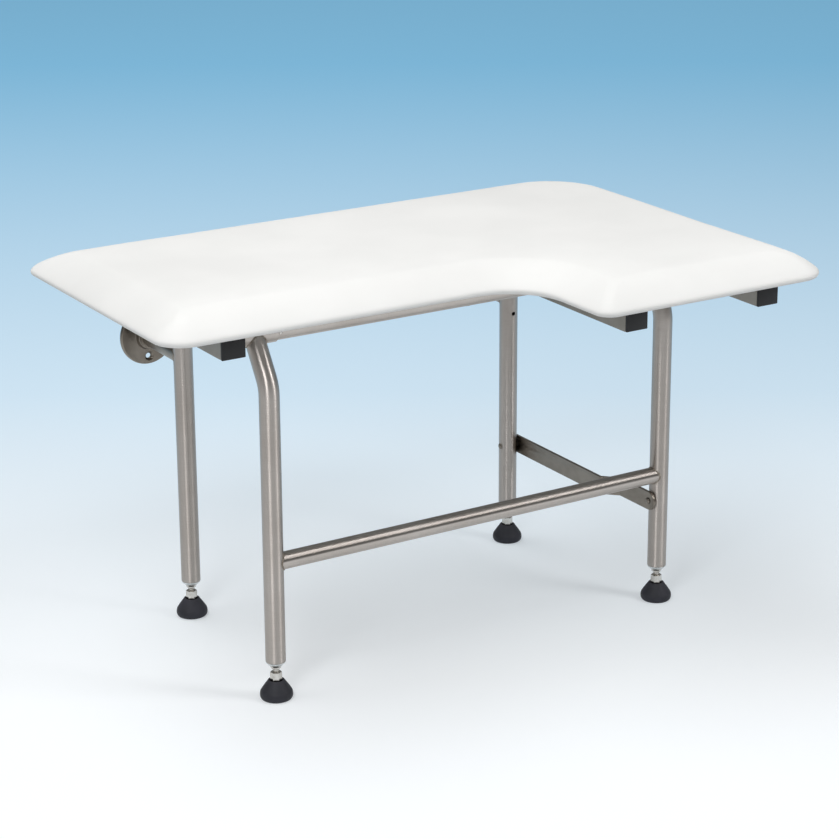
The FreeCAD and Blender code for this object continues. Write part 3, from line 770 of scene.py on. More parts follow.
    def inflate(self, piece: Object) -> None:
        """Swells the upper side with cloth under pressure, no further than the cap.

        Args:
            piece: The closed form, whose underside and lip are held.
        """
        rest = [v.co.copy() for v in piece.data.vertices]
        held = piece.vertex_groups.new(name="held")
        held.add([i for i, co in enumerate(rest) if co.z < self.base + self.lip / 2], 1.0, "REPLACE")
        cloth = piece.modifiers.new("foam", "CLOTH")
        cloth.settings.use_pressure = True
        cloth.settings.uniform_pressure_force = self.pressure
        cloth.settings.effector_weights.gravity = 0
        cloth.settings.vertex_group_mass = held.name
        cloth.settings.quality = self.cloth_quality
        cloth.settings.tension_stiffness = self.cloth_stiffness
        cloth.settings.compression_stiffness = self.cloth_stiffness
        cloth.settings.bending_stiffness = self.cloth_bending
        cloth.point_cache.frame_start = 1
        cloth.point_cache.frame_end = self.frames
        scene = bpy.context.scene
        for frame in range(1, self.frames + 1):
            scene.frame_set(frame)
        graph = bpy.context.evaluated_depsgraph_get()
        swollen = piece.evaluated_get(graph).to_mesh()
        steps = []
        for start, moved in zip(rest, swollen.vertices):
            step = moved.co - start
            reach = step.length
            share = self.swell * math.tanh(reach / self.swell) / reach if reach > self.least_reach else 0
            steps.append(step * share)
        piece.evaluated_get(graph).to_mesh_clear()
        for vert, start, step in zip(piece.data.vertices, rest, self.iron(piece, steps)):
            vert.co = start + step
        piece.modifiers.clear()
        piece.vertex_groups.clear()
        scene.frame_set(1)

    def iron(self, piece: Object, steps: list[Vector]) -> list[Vector]:
        """Evens out the swelling, so that the skin keeps no wrinkle at its corners.

        Args:
            piece: The closed form.
            steps: How far each vertex has moved.

        Returns:
            The same moves, each shared with its neighbours.
        """
        beside: list[list[int]] = [[] for _ in steps]
        for edge in piece.data.edges:
            beside[edge.vertices[0]].append(edge.vertices[1])
            beside[edge.vertices[1]].append(edge.vertices[0])
        for _ in range(self.ironing):
            steps = [sum((steps[i] for i in near), step) / (len(near) + 1)
                     for step, near in zip(steps, beside)]
        return steps

    def relax(self, piece: Object) -> None:
        """Softens the shoulder of the crown and gives it the slight unevenness of moulded foam.

        Args:
            piece: The swollen form.
        """
        for vert in piece.data.vertices:
            fine = noise.noise(vert.co * self.fine_drift_scale + Vector(self.fine_drift_place))
            drift = noise.noise(vert.co * self.drift_scale) + self.fine_drift_share * fine
            vert.co.z += self.unevenness * drift * clamp((vert.co.z - self.base - self.lip) / self.crown)
        shoulder = piece.vertex_groups.new(name="shoulder")
        for vert in piece.data.vertices:
            rise = (vert.co.z - self.base - self.lip) / self.crown
            shoulder.add([vert.index], clamp((rise - self.shoulder_start) * self.shoulder_slope), "REPLACE")
        smoother = piece.modifiers.new("shoulder", "SMOOTH")
        smoother.vertex_group = shoulder.name
        smoother.iterations = self.smoothing
        smoother.use_x = smoother.use_y = False

    def make(self) -> None:
        """Builds the cushion and dresses it."""
        piece = self.shell()
        self.inflate(piece)
        self.relax(piece)
        smoother = piece.modifiers.new("skin", "SUBSURF")
        smoother.levels = smoother.render_levels = 1
        bake_modifiers(piece)
        piece.vertex_groups.clear()
        piece.data.shade_smooth()
        piece.data.set_sharp_from_angle(angle=math.radians(self.crease))
        dress(piece, self.finishes.foam)
        settle(piece, Body.SEAT.value, Slot.FOAM, "seat_pad")


def inside(spot: Vector, loop: list[Vector]) -> bool:
    """Tells whether a flat point lies inside a closed loop.

    Args:
        spot: The point.
        loop: The loop's points in order.

    Returns:
        True inside it.
    """
    found = False
    for start, end in zip(loop, loop[1:] + loop[:1]):
        if (start.y > spot.y) != (end.y > spot.y):
            if spot.x < (end.x - start.x) * (spot.y - start.y) / (end.y - start.y) + start.x:
                found = not found
    return found


@dataclass
class Frame:
    """The bare tubes and the board, which keep their CAD shape."""

    finishes: Finishes
    crossways: tuple[str, ...] = ("rear_pivot_tube", "front_pivot_tube", "crossbar")
    # The wall stub tubes wear the darker plate finish as painted shade, for the seat's shadow over them
    dull: tuple[str, ...] = ("left_stub_tube", "right_stub_tube")

    def make(self) -> None:
        """Gives the kept nodes their finish."""
        tube = self.finishes.tube
        for leg in Leg:
            repaint(f"{leg.title}_leg", tube[Grain.UPRIGHT])
            repaint(f"{leg.title}_sleeve", tube[Grain.CROSSWAYS])
        for name in self.crossways:
            repaint(name, tube[Grain.CROSSWAYS])
        # Painted shade: the stub tubes take the darker plate finish
        for name in self.dull:
            repaint(name, self.finishes.plate)
        repaint("seat_board", self.finishes.board)


@dataclass(frozen=True)
class Edge:
    """A node whose cut edges are eased, by how much, and the shortest edge that is."""

    node: str
    body: Body
    ease: float
    shortest: float = 0.0


@dataclass
class EasedPlates:
    """Rails, strap and wall flanges, with the small round that sawing and deburring leave on them."""

    finishes: Finishes
    edges: tuple[Edge, ...] = (
        *(Edge(f"{side}_rail", Body.SEAT, 0.0012, 0.05) for side in SIDES),
        Edge("folding_strap", Body.STRAP, 0.0005),
        Edge("left_wall_flange", Body.WALL_FRAME, 0.0005),
        Edge("right_wall_flange", Body.WALL_FRAME, 0.0005),
    )
    steps: int = 3
    flat: float = math.radians(0.5)
    crease: float = math.radians(35)
    smooth: float = 30.0

    def make(self) -> None:
        """Builds an eased copy of each node."""
        for edge in self.edges:
            build = bmesh.new()
            build.from_mesh(bpy.data.objects[edge.node].data)
            bmesh.ops.remove_doubles(build, verts=build.verts, dist=MERGE_DISTANCE)
            bmesh.ops.dissolve_limit(build, angle_limit=self.flat, verts=build.verts, edges=build.edges)
            sharp = [line for line in build.edges if len(line.link_faces) == 2
                     and line.calc_length() > edge.shortest and line.calc_face_angle() > self.crease]
            bmesh.ops.bevel(build, geom=sharp, offset=edge.ease, segments=self.steps, profile=0.5,
                            affect="EDGES", clamp_overlap=True)
            finish_piece(build, f"{edge.node}_eased", self.smooth, self.finishes.plate, edge.body.value,
                         Slot.SATIN, edge.node, merge=False)


@dataclass
class RailCaps:
    """Black plastic caps in the ends of the square rails."""

    finishes: Finishes
    side: float = 0.03175
    wall: float = 0.00165
    play: float = 0.0002
    flange: float = 0.003
    insert: float = 0.012
    edge: float = 0.0009
    edge_steps: int = 3
    smooth: float = 35.0

    def add_cap(self, build: BMesh, spot: Vector, inwards: int) -> None:
        """Adds one cap to a bmesh.

        Args:
            build: The bmesh that gets it.
            spot: Middle of the cap's outer face.
            inwards: 1 where the insert runs towards the wall, -1 where away.
        """
        half = self.side / 2
        core = half - self.wall - self.play
        for reach, start, end in ((half, 0, self.flange), (core, self.flange, self.flange + self.insert)):
            place = Matrix.Translation(spot + BACK * (inwards * (start + end) / 2))
            matrix = place @ Matrix.Diagonal((2 * reach, end - start, 2 * reach, 1))
            verts = bmesh.ops.create_cube(build, size=1, matrix=matrix)["verts"]
            edges = list({e for v in verts for e in v.link_edges})
            bmesh.ops.bevel(build, geom=edges, offset=self.edge, segments=self.edge_steps, profile=0.5,
                            affect="EDGES")

    def finish(self, build: BMesh, name: str, node: str) -> None:
        """Turns one bmesh of caps into a dressed piece that stands for a node.

        Args:
            build: The caps.
            name: The piece's name.
            node: The node.
        """
        finish_piece(build, name, self.smooth, self.finishes.cap, Body.SEAT.value, Slot.PLASTIC, node)

    def make(self) -> None:
        """Builds the front caps one by one and the rear caps together."""
        rear = bmesh.new()
        for side in SIDES:
            front = bmesh.new()
            centre = middle(f"{side}_front_cap")
            self.add_cap(front, Vector((centre.x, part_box(f"{side}_front_cap")[0].y, centre.z)), 1)
            self.finish(front, f"{side}_front_moulded_cap", f"{side}_front_cap")
            centre = middle(f"{side}_rail")
            self.add_cap(rear, Vector((centre.x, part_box("rear_caps")[1].y, centre.z)), -1)
        self.finish(rear, "rear_moulded_caps", "rear_caps")


@dataclass
class LevellingFeet:
    """Threaded studs, nuts, plugs and rubber feet at the ends of the legs."""

    finishes: Finishes
    stud: float = 0.008
    play: float = 0.0001
    pitch: float = 0.00125
    thread_depth: float = 0.0006
    flats: float = 0.013
    base_nut: float = 0.013
    # The base nut's blind hole as a share of the stud, and how far the shank reaches over that nut
    hole_share: float = 0.9
    shank_reach: float = 0.001
    shank_steps: int = 32
    jam_nut: float = 0.005
    jam_share: float = 0.9
    jam_bottom: float = 0.040
    cone_rise: float = 0.002
    turned_steps: int = 64
    leg_bottom: float = 0.050
    stud_top: float = 0.074
    rubber: float = 0.022
    # Radius and height in millimetres, from the sole up the side and down into the dish
    rubber_profile: tuple[ROW, ...] = (
        (0, 0), (18.2, 0), (19.0, 0.4), (19.9, 1.6), (20.6, 3.4), (20.75, 5.2), (20.6, 7.2), (20.25, 9.0),
        (19.7, 10.3), (18.9, 11.5), (17.2, 14.2), (14.7, 17.9), (12.4, 21.0), (10.9, 23.2), (10.3, 24.1),
        (9.7, 24.5), (8.7, 24.5), (8.35, 24.2), (8.3, 23.6), (8.3, 21.8), (0, 21.8))
    # Radius, and distance under the locking nut's top: the cone that seats in the plug
    cone_profile: tuple[ROW, ...] = ((0.0066, 0.003), (0.0070, 0.0026), (0.0080, 0.0004), (0.0078, 0))
    # Radius and height of the plug outside its bore, from the top of its shank to its lower face
    plug_profile: tuple[ROW, ...] = (
        (0.01105, 0.027), (0.01105, 0.0046), (0.0120, 0.0046), (0.0124, 0.0043), (0.0124, 0.0036),
        (0.0118, 0.0026), (0.0106, 0.0013), (0.0094, 0.0003), (0.0086, 0.0))
    plug_drop: float = 0.005

    @property
    def bore(self) -> float:
        """Gives the radius of the holes that a stud passes through."""
        return self.stud / 2 + self.play

    def make(self) -> None:
        """Builds every foot."""
        for leg in Leg:
            self.make_rubber(leg)
            self.make_stud(leg)
            self.make_plug(leg)
        self.make_locking_nuts("rear", (Leg.REAR_LEFT, Leg.REAR_RIGHT))
        self.make_locking_nuts("front", (Leg.FRONT_LEFT, Leg.FRONT_RIGHT))

    def make_rubber(self, leg: Leg) -> None:
        """Builds one rubber foot, with the dish that its nut stands in.

        Args:
            leg: The leg over it.
        """
        build = bmesh.new()
        add_lathe(build, [(radius * MM, height * MM) for radius, height in self.rubber_profile], leg.foot, UP)
        finish_piece(build, f"{leg.title}_moulded_foot", TURNED_SMOOTH, self.finishes.rubber,
                     f"{leg.title}_foot", Slot.RUBBER, f"{leg.title}_rubber_foot")

    def make_stud(self, leg: Leg) -> None:
        """Builds one threaded stud with its base nut, and the plain shank inside that.

        Args:
            leg: The leg over it.
        """
        low, radius = self.rubber + self.base_nut, self.stud / 2
        spindle = new_piece("spindle", bmesh.new(), None)
        run_tree(spindle, thread_tree(), {
            "Radius": radius - self.thread_depth / 2, "Pitch": self.pitch, "Depth": self.thread_depth,
            "Length": self.stud_top - low, "Finish": self.finishes.hardware})
        build = bmesh.new()
        build.from_mesh(spindle.data)
        bmesh.ops.translate(build, verts=build.verts, vec=leg.foot + UP * low)
        bpy.data.objects.remove(spindle)
        hole, seat = self.stud * self.hole_share, leg.foot + UP * self.rubber
        add_hex(build, self.flats, self.base_nut, hole, seat, UP)
        top = low + self.shank_reach
        shank = [(0, self.rubber), (radius, self.rubber), (radius, top), (0, top)]
        add_lathe(build, shank, leg.foot, UP, self.shank_steps)
        bmesh.ops.recalc_face_normals(build, faces=build.faces)
        finish_piece(build, f"{leg.title}_threaded_stud", NUT_SMOOTH, self.finishes.hardware,
                     f"{leg.title}_foot", Slot.BRIGHT, f"{leg.title}_stud", merge=False)

    def make_plug(self, leg: Leg) -> None:
        """Builds the turned plug that closes one leg.

        Args:
            leg: The leg.
        """
        profile = [(self.bore, 0.0), (self.bore, self.plug_profile[0][1]), *self.plug_profile]
        build = bmesh.new()
        place = leg.foot + UP * (self.leg_bottom - self.plug_drop)
        add_lathe(build, profile, place, UP, self.turned_steps)
        finish_piece(build, f"{leg.title}_turned_plug", TURNED_SMOOTH, self.finishes.plug, leg.carrier.value,
                     Slot.BRIGHT, f"{leg.title}_leg_plug")

    def make_locking_nuts(self, end: str, legs: tuple[Leg, Leg]) -> None:
        """Builds the two locking nuts at one end of the seat, each with a cone on top.

        Args:
            end: The end, rear or front.
            legs: The two legs there.
        """
        cone = [(self.bore, self.jam_nut), (self.bore, self.jam_nut - self.cone_profile[0][1])]
        cone += [(radius, self.jam_nut - drop) for radius, drop in self.cone_profile]
        build = bmesh.new()
        for leg in legs:
            place = leg.foot + UP * self.jam_bottom
            flats, height = self.flats * self.jam_share, self.jam_nut - self.cone_rise
            add_hex(build, flats, height, self.stud, place, UP)
            add_lathe(build, cone, place, UP, self.turned_steps)
        finish_piece(build, f"{end}_locking_nuts", NUT_SMOOTH, self.finishes.hardware, legs[0].carrier.value,
                     Slot.BRIGHT, f"{end}_jam_nuts")


def run_tree(piece: Object, tree: NodeTree, values: dict[str, object]) -> None:
    """Runs a geometry tree on a piece and keeps the result as plain mesh.

    Args:
        piece: The object that the tree works on.
        tree: The geometry tree.
        values: Its inputs by name.
    """
    modifier = piece.modifiers.new("nodes", "NODES")
    modifier.node_group = tree
    for item in tree.interface.items_tree:
        if item.item_type == "SOCKET" and item.in_out == "INPUT" and item.name in values:
            modifier[item.identifier] = values[item.name]
    bake_modifiers(piece)


def new_tree(name: str, inputs: dict[str, str]) -> tuple[NodeTree, bpy.types.NodeOutputs]:
    """Starts a geometry tree with named inputs.

    Args:
        name: The tree's name.
        inputs: The kind of socket of each input.

    Returns:
        The tree and the sockets that its inputs come in by.
    """
    tree = bpy.data.node_groups.new(name, "GeometryNodeTree")
    for label, kind in {"Geometry": "Geometry", **inputs}.items():
        tree.interface.new_socket(label, in_out="INPUT", socket_type=f"NodeSocket{kind}")
    tree.interface.new_socket("Geometry", in_out="OUTPUT", socket_type="NodeSocketGeometry")
    return tree, add_node(tree, "NodeGroupInput").outputs


def close_tree(tree: NodeTree, finish: NodeSocket, last: NodeSocket) -> None:
    """Ends a geometry tree with real geometry in its finish.

    Args:
        tree: The tree.
        finish: The socket with the material.
        last: The socket with the geometry.
    """
    real = add_node(tree, "GeometryNodeRealizeInstances", links={"Geometry": last})
    painted = add_node(tree, "GeometryNodeSetMaterial",
                       links={"Geometry": real.outputs["Geometry"], "Material": finish})
    add_node(tree, "NodeGroupOutput", links={"Geometry": painted.outputs["Geometry"]})


def thread_tree() -> NodeTree:
    """Builds the tree that cuts a screw thread: a core with one ridge wound round it.

    Returns:
        The tree, made once.
    """
    known = bpy.data.node_groups.get("screw_thread")
    if known:
        return known
    tree, given = new_tree("screw_thread", {
        "Radius": "Float", "Pitch": "Float", "Depth": "Float", "Length": "Float", "Finish": "Material"})
    radius, length = given["Radius"], given["Length"]
    wound = add_node(tree, "GeometryNodeCurveSpiral", values={"Resolution": 28},
                     links={"Rotations": calculate(tree, "DIVIDE", length, given["Pitch"]),
                            "Start Radius": radius, "End Radius": radius, "Height": length})
    ridge = add_node(tree, "GeometryNodeCurvePrimitiveCircle", values={"Resolution": 4},
                     links={"Radius": given["Depth"]})
    swept = add_node(tree, "GeometryNodeCurveToMesh", values={"Fill Caps": True},
                     links={"Curve": wound.outputs["Curve"], "Profile Curve": ridge.outputs["Curve"]})
    core = add_node(tree, "GeometryNodeMeshCylinder", values={"Vertices": 32},
                    links={"Radius": radius, "Depth": length})
    lift = add_node(tree, "ShaderNodeCombineXYZ", links={"Z": calculate(tree, "MULTIPLY", length, 0.5)})
    raised = add_node(tree, "GeometryNodeTransform",
                      links={"Geometry": core.outputs["Mesh"], "Translation": lift.outputs["Vector"]})
    joined = add_node(tree, "GeometryNodeJoinGeometry", links={"Geometry": raised.outputs["Geometry"]})
    tree.links.new(swept.outputs["Mesh"], joined.inputs["Geometry"])
    close_tree(tree, given["Finish"], joined.outputs["Geometry"])
    return tree


def bead_tree() -> NodeTree:
    """Builds the tree that lays a rippled weld bead along the edges of a mesh.

    Returns:
        The tree.
    """
    tree, given = new_tree(
        "weld_bead", {"Bead": "Float", "Step": "Float", "Seed": "Int", "Finish": "Material"})
    path = add_node(tree, "GeometryNodeMeshToCurve", links={"Mesh": given["Geometry"]})
    points = add_node(tree, "GeometryNodeCurveToPoints", {"mode": "LENGTH"},
                      links={"Curve": path.outputs["Curve"], "Length": given["Step"]})
    drop = add_node(tree, "GeometryNodeMeshUVSphere", values={"Segments": 10, "Rings": 6},
                    links={"Radius": given["Bead"]})
    # Inputs 2 and 3 are the least and the greatest of the random number
    size = add_node(tree, "FunctionNodeRandomValue", values={2: 0.85, 3: 1.1}, links={"Seed": given["Seed"]})
    placed = add_node(tree, "GeometryNodeInstanceOnPoints",
                      links={"Points": points.outputs["Points"], "Instance": drop.outputs["Mesh"],
                             "Rotation": points.outputs["Rotation"], "Scale": size.outputs[1]})
    smooth = add_node(tree, "GeometryNodeSetShadeSmooth", links={"Geometry": placed.outputs["Instances"]})
    close_tree(tree, given["Finish"], smooth.outputs["Geometry"])
    return tree


def scatter_tree() -> NodeTree:
    """Builds the tree that puts one fastener head at each point of a mesh.

    Returns:
        The tree.
    """
    tree, given = new_tree("fastener_heads", {"Head": "Object", "Finish": "Material"})
    head = add_node(tree, "GeometryNodeObjectInfo", links={"Object": given["Head"]})
    placed = add_node(tree, "GeometryNodeInstanceOnPoints",
                      links={"Points": given["Geometry"], "Instance": head.outputs["Geometry"]})
    close_tree(tree, given["Finish"], placed.outputs["Instances"])
    return tree


@dataclass
class Welds:
    """Rippled beads where tubes meet."""

    finishes: Finishes
    tube: float = 0.0127
    sleeve: float = 0.0143
    crossbar: float = 0.011
    stub: float = 0.0125
    lean: float = math.radians(33)
    rail_half: float = 0.015875
    bead: float = 0.0012
    step: float = 0.0011
    seed: int = 3
    points: int = 72

    def sleeve_loop(self, leg: Leg) -> list[Vector]:
        """Lists the line where a leaning leg meets its sleeve.

        Args:
            leg: The leg.

        Returns:
            Points round the joint.
        """
        pivot = middle(f"{leg.title}_sleeve")
        rise = Vector((0, math.sin(self.lean), math.cos(self.lean)))
        out = Vector((0, math.cos(self.lean), -math.sin(self.lean)))
        loop = []
        for turn in circle(self.points):
            away = self.tube * math.sin(turn)
            back = math.sqrt(self.sleeve ** 2 - away ** 2)
            loop.append(pivot - rise * back + RIGHT * (self.tube * math.cos(turn)) + out * away)
        return loop

    def saddle_loop(self, post: Vector, axis: Vector, radius: float) -> list[Vector]:
        """Lists the line where a level tube meets an upright leg.

        Args:
            post: The point on the leg's axis that the tube aims at.
            axis: The direction from the leg to the tube.
            radius: The tube's radius.

        Returns:
            Points round the joint.
        """
        side = UP.cross(axis)
        loop = []
        for turn in circle(self.points):
            across = radius * math.cos(turn)
            reach = math.sqrt(self.tube ** 2 - across ** 2)
            loop.append(post + axis * reach + side * across + UP * (radius * math.sin(turn)))
        return loop

    def ring_loop(self, centre: Vector, axis: Vector) -> list[Vector]:
        """Lists a circle of the tube's radius about an axis."""
        return [stand(centre, axis) @ polar(self.tube, turn) for turn in circle(self.points)]

    def make(self) -> None:
        """Lays the beads of each body as one piece."""
        lines: dict[Body, list[list[Vector]]] = {Body.WALL_FRAME: [], Body.FRONT_LEGS: [], Body.SEAT: []}
        for leg in Leg:
            lines[leg.carrier].append(self.sleeve_loop(leg))
        for leg, side in ((Leg.REAR_LEFT, "left"), (Leg.REAR_RIGHT, "right")):
            post = leg.foot + UP * middle(f"{side}_stub_tube").z
            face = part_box(f"{side}_wall_flange")[0].y
            lines[leg.carrier].append(self.saddle_loop(post, BACK, self.stub))
            lines[leg.carrier].append(self.ring_loop(Vector((post.x, face, post.z)), BACK))
        for leg, axis in ((Leg.FRONT_LEFT, RIGHT), (Leg.FRONT_RIGHT, -RIGHT)):
            post = leg.foot + UP * middle("crossbar").z
            lines[leg.carrier].append(self.saddle_loop(post, axis, self.crossbar))
        for end in ENDS:
            for side in (-self.rail_half, self.rail_half):
                centre = middle(f"{end}_pivot_tube")
                centre.x = middle("middle_rail").x + side
                lines[Body.SEAT].append(self.ring_loop(centre, RIGHT))
        tree = bead_tree()
        for body, loops in lines.items():
            build = bmesh.new()
            for loop in loops:
                verts = [build.verts.new(p) for p in loop]
                for start, end in zip(verts, verts[1:] + verts[:1]):
                    build.edges.new((start, end))
            piece = new_piece(f"{body.value}_welds", build, None)
            run_tree(piece, tree, {
                "Bead": self.bead, "Step": self.step, "Seed": self.seed, "Finish": self.finishes.weld})
            settle(piece, body.value, Slot.SATIN)


@dataclass
class Fasteners:
    """Rivets, seat screws and the two strap bolts."""

    finishes: Finishes
    head_steps: int = 32
    rivet_head: float = 0.005
    rivet_rise: float = 0.0016
    rivet_seat: float = 0.9
    rivet_edge: float = 0.0002
    rivet_collar: float = 0.0009
    rivet_angles: tuple[int, ...] = (0, 20, 40, 60, 78)
    rivet_reach: float = 0.003
    pivot_radius: float = 0.0127
    screw_head: float = 0.012
    screw_rise: float = 0.003
    screw_seat: float = 0.94
    screw_edge: float = 0.0004
    # Shares of the head's radius and rise, from its edge to its socket
    screw_crown: tuple[ROW, ...] = ((0.96, 0.4), (0.82, 0.75), (0.6, 0.94))
    screw_rod: float = 0.003
    screw_length: float = 0.02
    socket: float = 0.004
    # Width and depth of the socket's chamfer, and the rise of its floor at the wall and in the middle
    socket_rim: ROW = (0.0004, 0.0003)
    socket_floor: ROW = (0.35, 0.3)
    row_inset: float = 0.060
    bolt_head: float = 0.00425
    bolt_rise: float = 0.002
    bolt_rod: float = 0.003
    bolt_chamfer: float = 0.0006
    bolt_angles: tuple[int, ...] = (78, 62, 45, 28, 12)
    bolt_steps: int = 48
    nut_flats: float = 0.010
    nut_bore: float = 0.0061
    tree: NodeTree = field(init=False)

    def __post_init__(self) -> None:
        """Builds the tree that all heads are put in place by."""
        self.tree = scatter_tree()

    def screw_spots(self) -> list[Vector]:
        """Lists the points under the rails where the seat screws go in.

        Returns:
            The middle of each screw's seat.
        """
        spots = []
        rows = [middle("rear_pivot_tube").y - self.row_inset, middle("front_pivot_tube").y + self.row_inset]
        deep_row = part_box("middle_front_cap")[0].y + self.row_inset
        for side in SIDES:
            low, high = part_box(f"{side}_rail")
            lines = rows if side == "left" else [*rows, deep_row]
            spots += [Vector(((low.x + high.x) / 2, line, low.z)) for line in lines]
        return spots

    def scatter(self, name: str, profile: list[ROW], axis: Vector, spots: list[Vector]) -> Object:
        """Puts a turned head at every spot.

        Args:
            name: Name of the piece that they become.
            profile: Radius and height pairs of the head.
            axis: The direction that the heads look in.
            spots: Where they go.

        Returns:
            The heads as one piece.
        """
        build = bmesh.new()
        add_lathe(build, profile, Vector(), axis, self.head_steps)
        finish_normals(build)
        head = new_piece("head", build, TURNED_SMOOTH)
        build = bmesh.new()
        for spot in spots:
            build.verts.new(spot)
        piece = new_piece(name, build, None)
        run_tree(piece, self.tree, {"Head": head, "Finish": self.finishes.hardware})
        bpy.data.objects.remove(head)
        return piece

    def make(self) -> None:
        """Builds all fasteners."""
        self.make_rivets()
        self.make_screws()
        for end, body in (("rear", Body.WALL_FRAME), ("front", Body.FRONT_LEGS)):
            self.make_strap_bolt(end, body)

    def make_rivets(self) -> None:
        """Builds the domed rivets beside the sleeves."""
        radius, rise = self.rivet_head / 2, self.rivet_rise
        profile = [(0, -self.rivet_collar), (radius * self.rivet_seat, -self.rivet_collar),
                   (radius, -self.rivet_edge), *dome(radius, rise, self.rivet_angles), (0, rise)]
        for end in ENDS:
            pivot = middle(f"{end}_pivot_tube")
            reaches = (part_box(f"{end}_left_sleeve")[1].x + self.rivet_reach,
                       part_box(f"{end}_right_sleeve")[0].x - self.rivet_reach)
            spots = [Vector((x, pivot.y - self.pivot_radius, pivot.z)) for x in reaches]
            piece = self.scatter(f"{end}_domed_rivets", profile, -BACK, spots)
            settle(piece, Body.SEAT.value, Slot.BRIGHT, f"{end}_stop_rivets")

    def make_screws(self) -> None:
        """Builds the button-head screws under the rails, with their sockets."""
        radius, rise, well, rod = self.screw_head / 2, self.screw_rise, self.socket / 2, self.screw_rod
        (rim, depth), (wall, core) = self.socket_rim, self.socket_floor
        profile = [
            (0, -self.screw_length), (rod, -self.screw_length), (rod, 0), (radius * self.screw_seat, 0),
            (radius, self.screw_edge), *((radius * out, rise * up) for out, up in self.screw_crown),
            (well + rim, rise), (well, rise - depth), (well, rise * wall), (0, rise * core)]
        piece = self.scatter("button_head_screws", profile, -UP, self.screw_spots())
        settle(piece, Body.SEAT.value, Slot.BRIGHT, "seat_screws")

    def make_strap_bolt(self, end: str, body: Body) -> None:
        """Builds one dome-headed bolt of the strap and its nut.

        Args:
            end: The strap's end, rear or front.
            body: The body that holds the bolt.
        """
        low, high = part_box(f"{end}_strap_bolt")
        nut_low, nut_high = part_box(f"{end}_strap_nut")
        line, level = (low.y + high.y) / 2, (low.z + high.z) / 2
        head, rise, rod, length = self.bolt_head, self.bolt_rise, self.bolt_rod, high.x - low.x
        crown = [(radius, rise - drop) for radius, drop in dome(head, rise, self.bolt_angles)]
        profile = [(0, 0), *crown, (head, rise), (rod, rise), (rod, length - self.bolt_chamfer),
                   (rod - self.bolt_chamfer, length), (0, length)]
        build = bmesh.new()
        add_lathe(build, profile, Vector((low.x, line, level)), RIGHT, self.bolt_steps)
        finish_piece(build, f"{end}_domed_bolt", TURNED_SMOOTH, self.finishes.plate, body.value, Slot.BRIGHT,
                     f"{end}_strap_bolt")
        build = bmesh.new()
        place = Vector((nut_low.x, line, level))
        add_hex(build, self.nut_flats, nut_high.x - nut_low.x, self.nut_bore, place, RIGHT)
        finish_piece(build, f"{end}_chamfered_nut", NUT_SMOOTH, self.finishes.hardware, body.value,
                     Slot.BRIGHT, f"{end}_strap_nut")


@dataclass(frozen=True)
class Softbox:
    """One soft lamp: its place, the height that it looks at over the origin, its size and its watts."""

    name: str
    place: SPOT
    aim: float
    size: ROW
    power: float

    def hang(self) -> None:
        """Puts the lamp in the scene."""
        data = bpy.data.lights.new(self.name, "AREA")
        data.shape = "RECTANGLE"
        data.size, data.size_y = self.size
        data.energy = self.power
        lamp = bpy.data.objects.new(self.name, data)
        lamp.visible_camera = False
        spot = Vector(self.place)
        look = (UP * self.aim - spot).to_track_quat("-Z", "Y").to_matrix().to_4x4()
        lamp.matrix_world = Matrix.Translation(spot) @ look
        link(lamp)


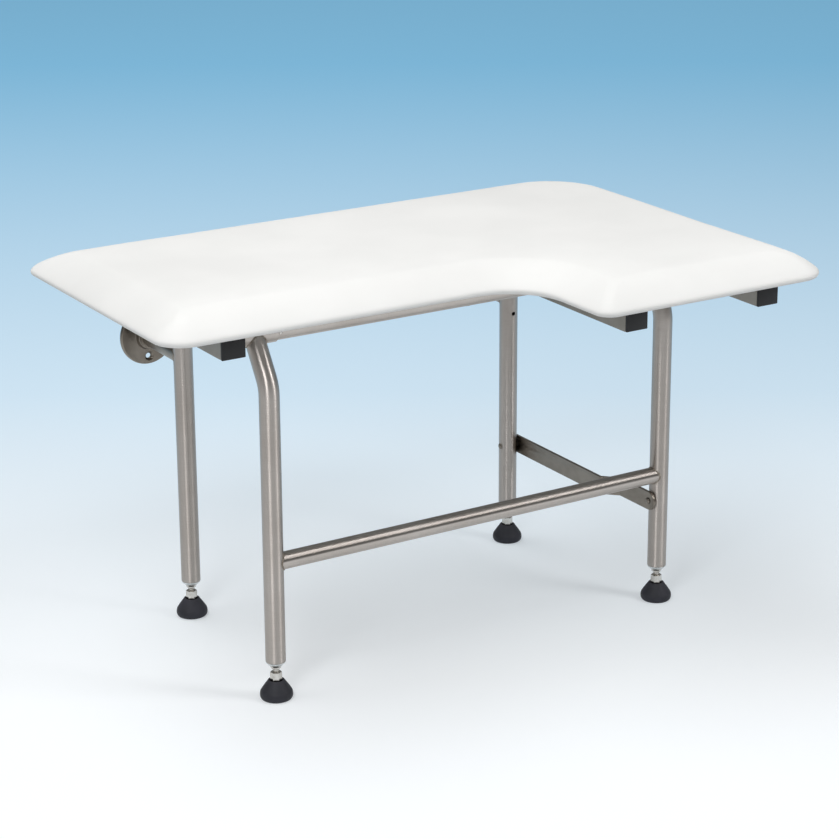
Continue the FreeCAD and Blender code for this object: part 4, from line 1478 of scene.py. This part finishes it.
@dataclass
class Studio:
    """Pale floor that shades off to blue, soft lights and the camera at the photograph's angle."""

    eye: SPOT = (-1.59668, -2.5827, 1.3216)
    heading: float = math.radians(31.584)
    pitch: float = math.radians(17.778)
    roll: float = math.radians(-0.308)
    lens: float = 105.86
    sensor: float = 36
    shift: float = -0.05707
    near_tone: str = "#f5f6f7"
    middle_tone: str = "#d3e5f1"
    far_tone: str = "#7ccdf9"
    near_line: float = -0.2
    far_line: float = 4.0
    middle_share: float = 0.28
    floor_size: float = 30
    floor_drop: float = 0.0002
    floor_shade: float = 0.75
    floor_glow: float = 0.40
    sky_tone: str = "#e6e6e6"
    sky_level: float = 0.26
    lamps: tuple[Softbox, ...] = (
        Softbox("overhead_softbox", (-1.2, 1.3, 4.5), 0.4, (4.0, 2.6), 107),
        Softbox("left_softbox", (-1.53, -1.24, 2.0), 0.3, (0.75, 1.9), 22),
        Softbox("right_softbox", (1.26, -1.50, 2.0), 0.3, (0.6, 1.9), 21),
    )

    def add_camera(self) -> None:
        """Sets the camera as the photograph was taken."""
        forward = Vector((math.sin(self.heading) * math.cos(self.pitch),
                          math.cos(self.heading) * math.cos(self.pitch), -math.sin(self.pitch)))
        level = Vector((math.cos(self.heading), -math.sin(self.heading), 0))
        rise = level.cross(forward)
        right = level * math.cos(self.roll) + rise * math.sin(self.roll)
        up = rise * math.cos(self.roll) - level * math.sin(self.roll)
        camera = bpy.data.objects.new("camera", bpy.data.cameras.new("camera"))
        camera.data.lens = self.lens
        camera.data.sensor_width = self.sensor
        camera.data.shift_y = self.shift
        turn = Matrix((right, up, -forward)).transposed().to_4x4()
        camera.matrix_world = Matrix.Translation(self.eye) @ turn
        bpy.context.scene.camera = link(camera)

    def floor_material(self) -> Material:
        """Builds the matt paint of the floor, which keeps a soft shadow and shows no reflection.

        Returns:
            The new material.
        """
        made, shader = start_material("matt_painted_floor", {"Roughness": 0.85, "Specular IOR Level": 0.2})
        tree = made.node_tree
        where = add_node(tree, "ShaderNodeTexCoord").outputs["Object"]
        # The dot product measures how far a point lies behind the seat, along the view
        behind = add_node(tree, "ShaderNodeVectorMath", {"operation": "DOT_PRODUCT"},
                          {1: (math.sin(self.heading), math.cos(self.heading), 0)}, {0: where})
        share = add_node(tree, "ShaderNodeMapRange",
                         values={"From Min": self.near_line, "From Max": self.far_line},
                         links={"Value": behind.outputs["Value"]})
        ramp = add_node(tree, "ShaderNodeValToRGB", links={"Fac": share.outputs["Result"]})
        ramp.color_ramp.interpolation = "B_SPLINE"
        ramp.color_ramp.elements[0].color = linear(self.near_tone)
        ramp.color_ramp.elements[1].color = linear(self.far_tone)
        ramp.color_ramp.elements.new(self.middle_share).color = linear(self.middle_tone)
        tone = ramp.outputs["Color"]
        # Part of the tone is lit by the lamps and keeps the shadow; the rest glows, but lights nothing
        lit = add_node(
            tree, "ShaderNodeVectorMath", {"operation": "SCALE"}, {"Scale": self.floor_shade}, {0: tone})
        rays = add_node(tree, "ShaderNodeLightPath").outputs
        seen = calculate(tree, "MAXIMUM", rays["Is Camera Ray"], rays["Is Glossy Ray"])
        seen = calculate(tree, "MAXIMUM", seen, rays["Is Transmission Ray"])
        glow = calculate(tree, "MULTIPLY", seen, self.floor_glow)
        tree.links.new(lit.outputs["Vector"], shader.inputs["Base Color"])
        tree.links.new(tone, shader.inputs["Emission Color"])
        tree.links.new(glow, shader.inputs["Emission Strength"])
        return made

    def add_floor(self) -> None:
        """Lays the plain floor: white under the seat and pale blue far behind it."""
        build = bmesh.new()
        bmesh.ops.create_grid(build, x_segments=1, y_segments=1, size=self.floor_size)
        bmesh.ops.translate(build, verts=build.verts, vec=-UP * self.floor_drop)
        floor = new_piece("studio_floor", build, None)
        dress(floor, self.floor_material())

    def add_sky(self) -> None:
        """Gives the world an even pale light."""
        world = bpy.data.worlds.new("studio")
        bpy.context.scene.world = world
        world.use_nodes = True
        shade = world.node_tree.nodes["Background"]
        shade.inputs["Color"].default_value = linear(self.sky_tone)
        shade.inputs["Strength"].default_value = self.sky_level

    def make(self) -> None:
        """Builds the whole studio."""
        self.add_camera()
        self.add_floor()
        self.add_sky()
        for lamp in self.lamps:
            lamp.hang()
        bpy.context.scene.view_settings.view_transform = "Standard"


def main() -> None:
    """Builds every piece of the seat and its studio."""
    logging.basicConfig(level=logging.INFO, format="%(message)s")
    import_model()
    Studio().make()
    finishes = Finishes()
    for assembly in (Frame, EasedPlates, Cushion, RailCaps, LevellingFeet, Welds, Fasteners):
        assembly(finishes).make()


if __name__ == "__main__":
    main()
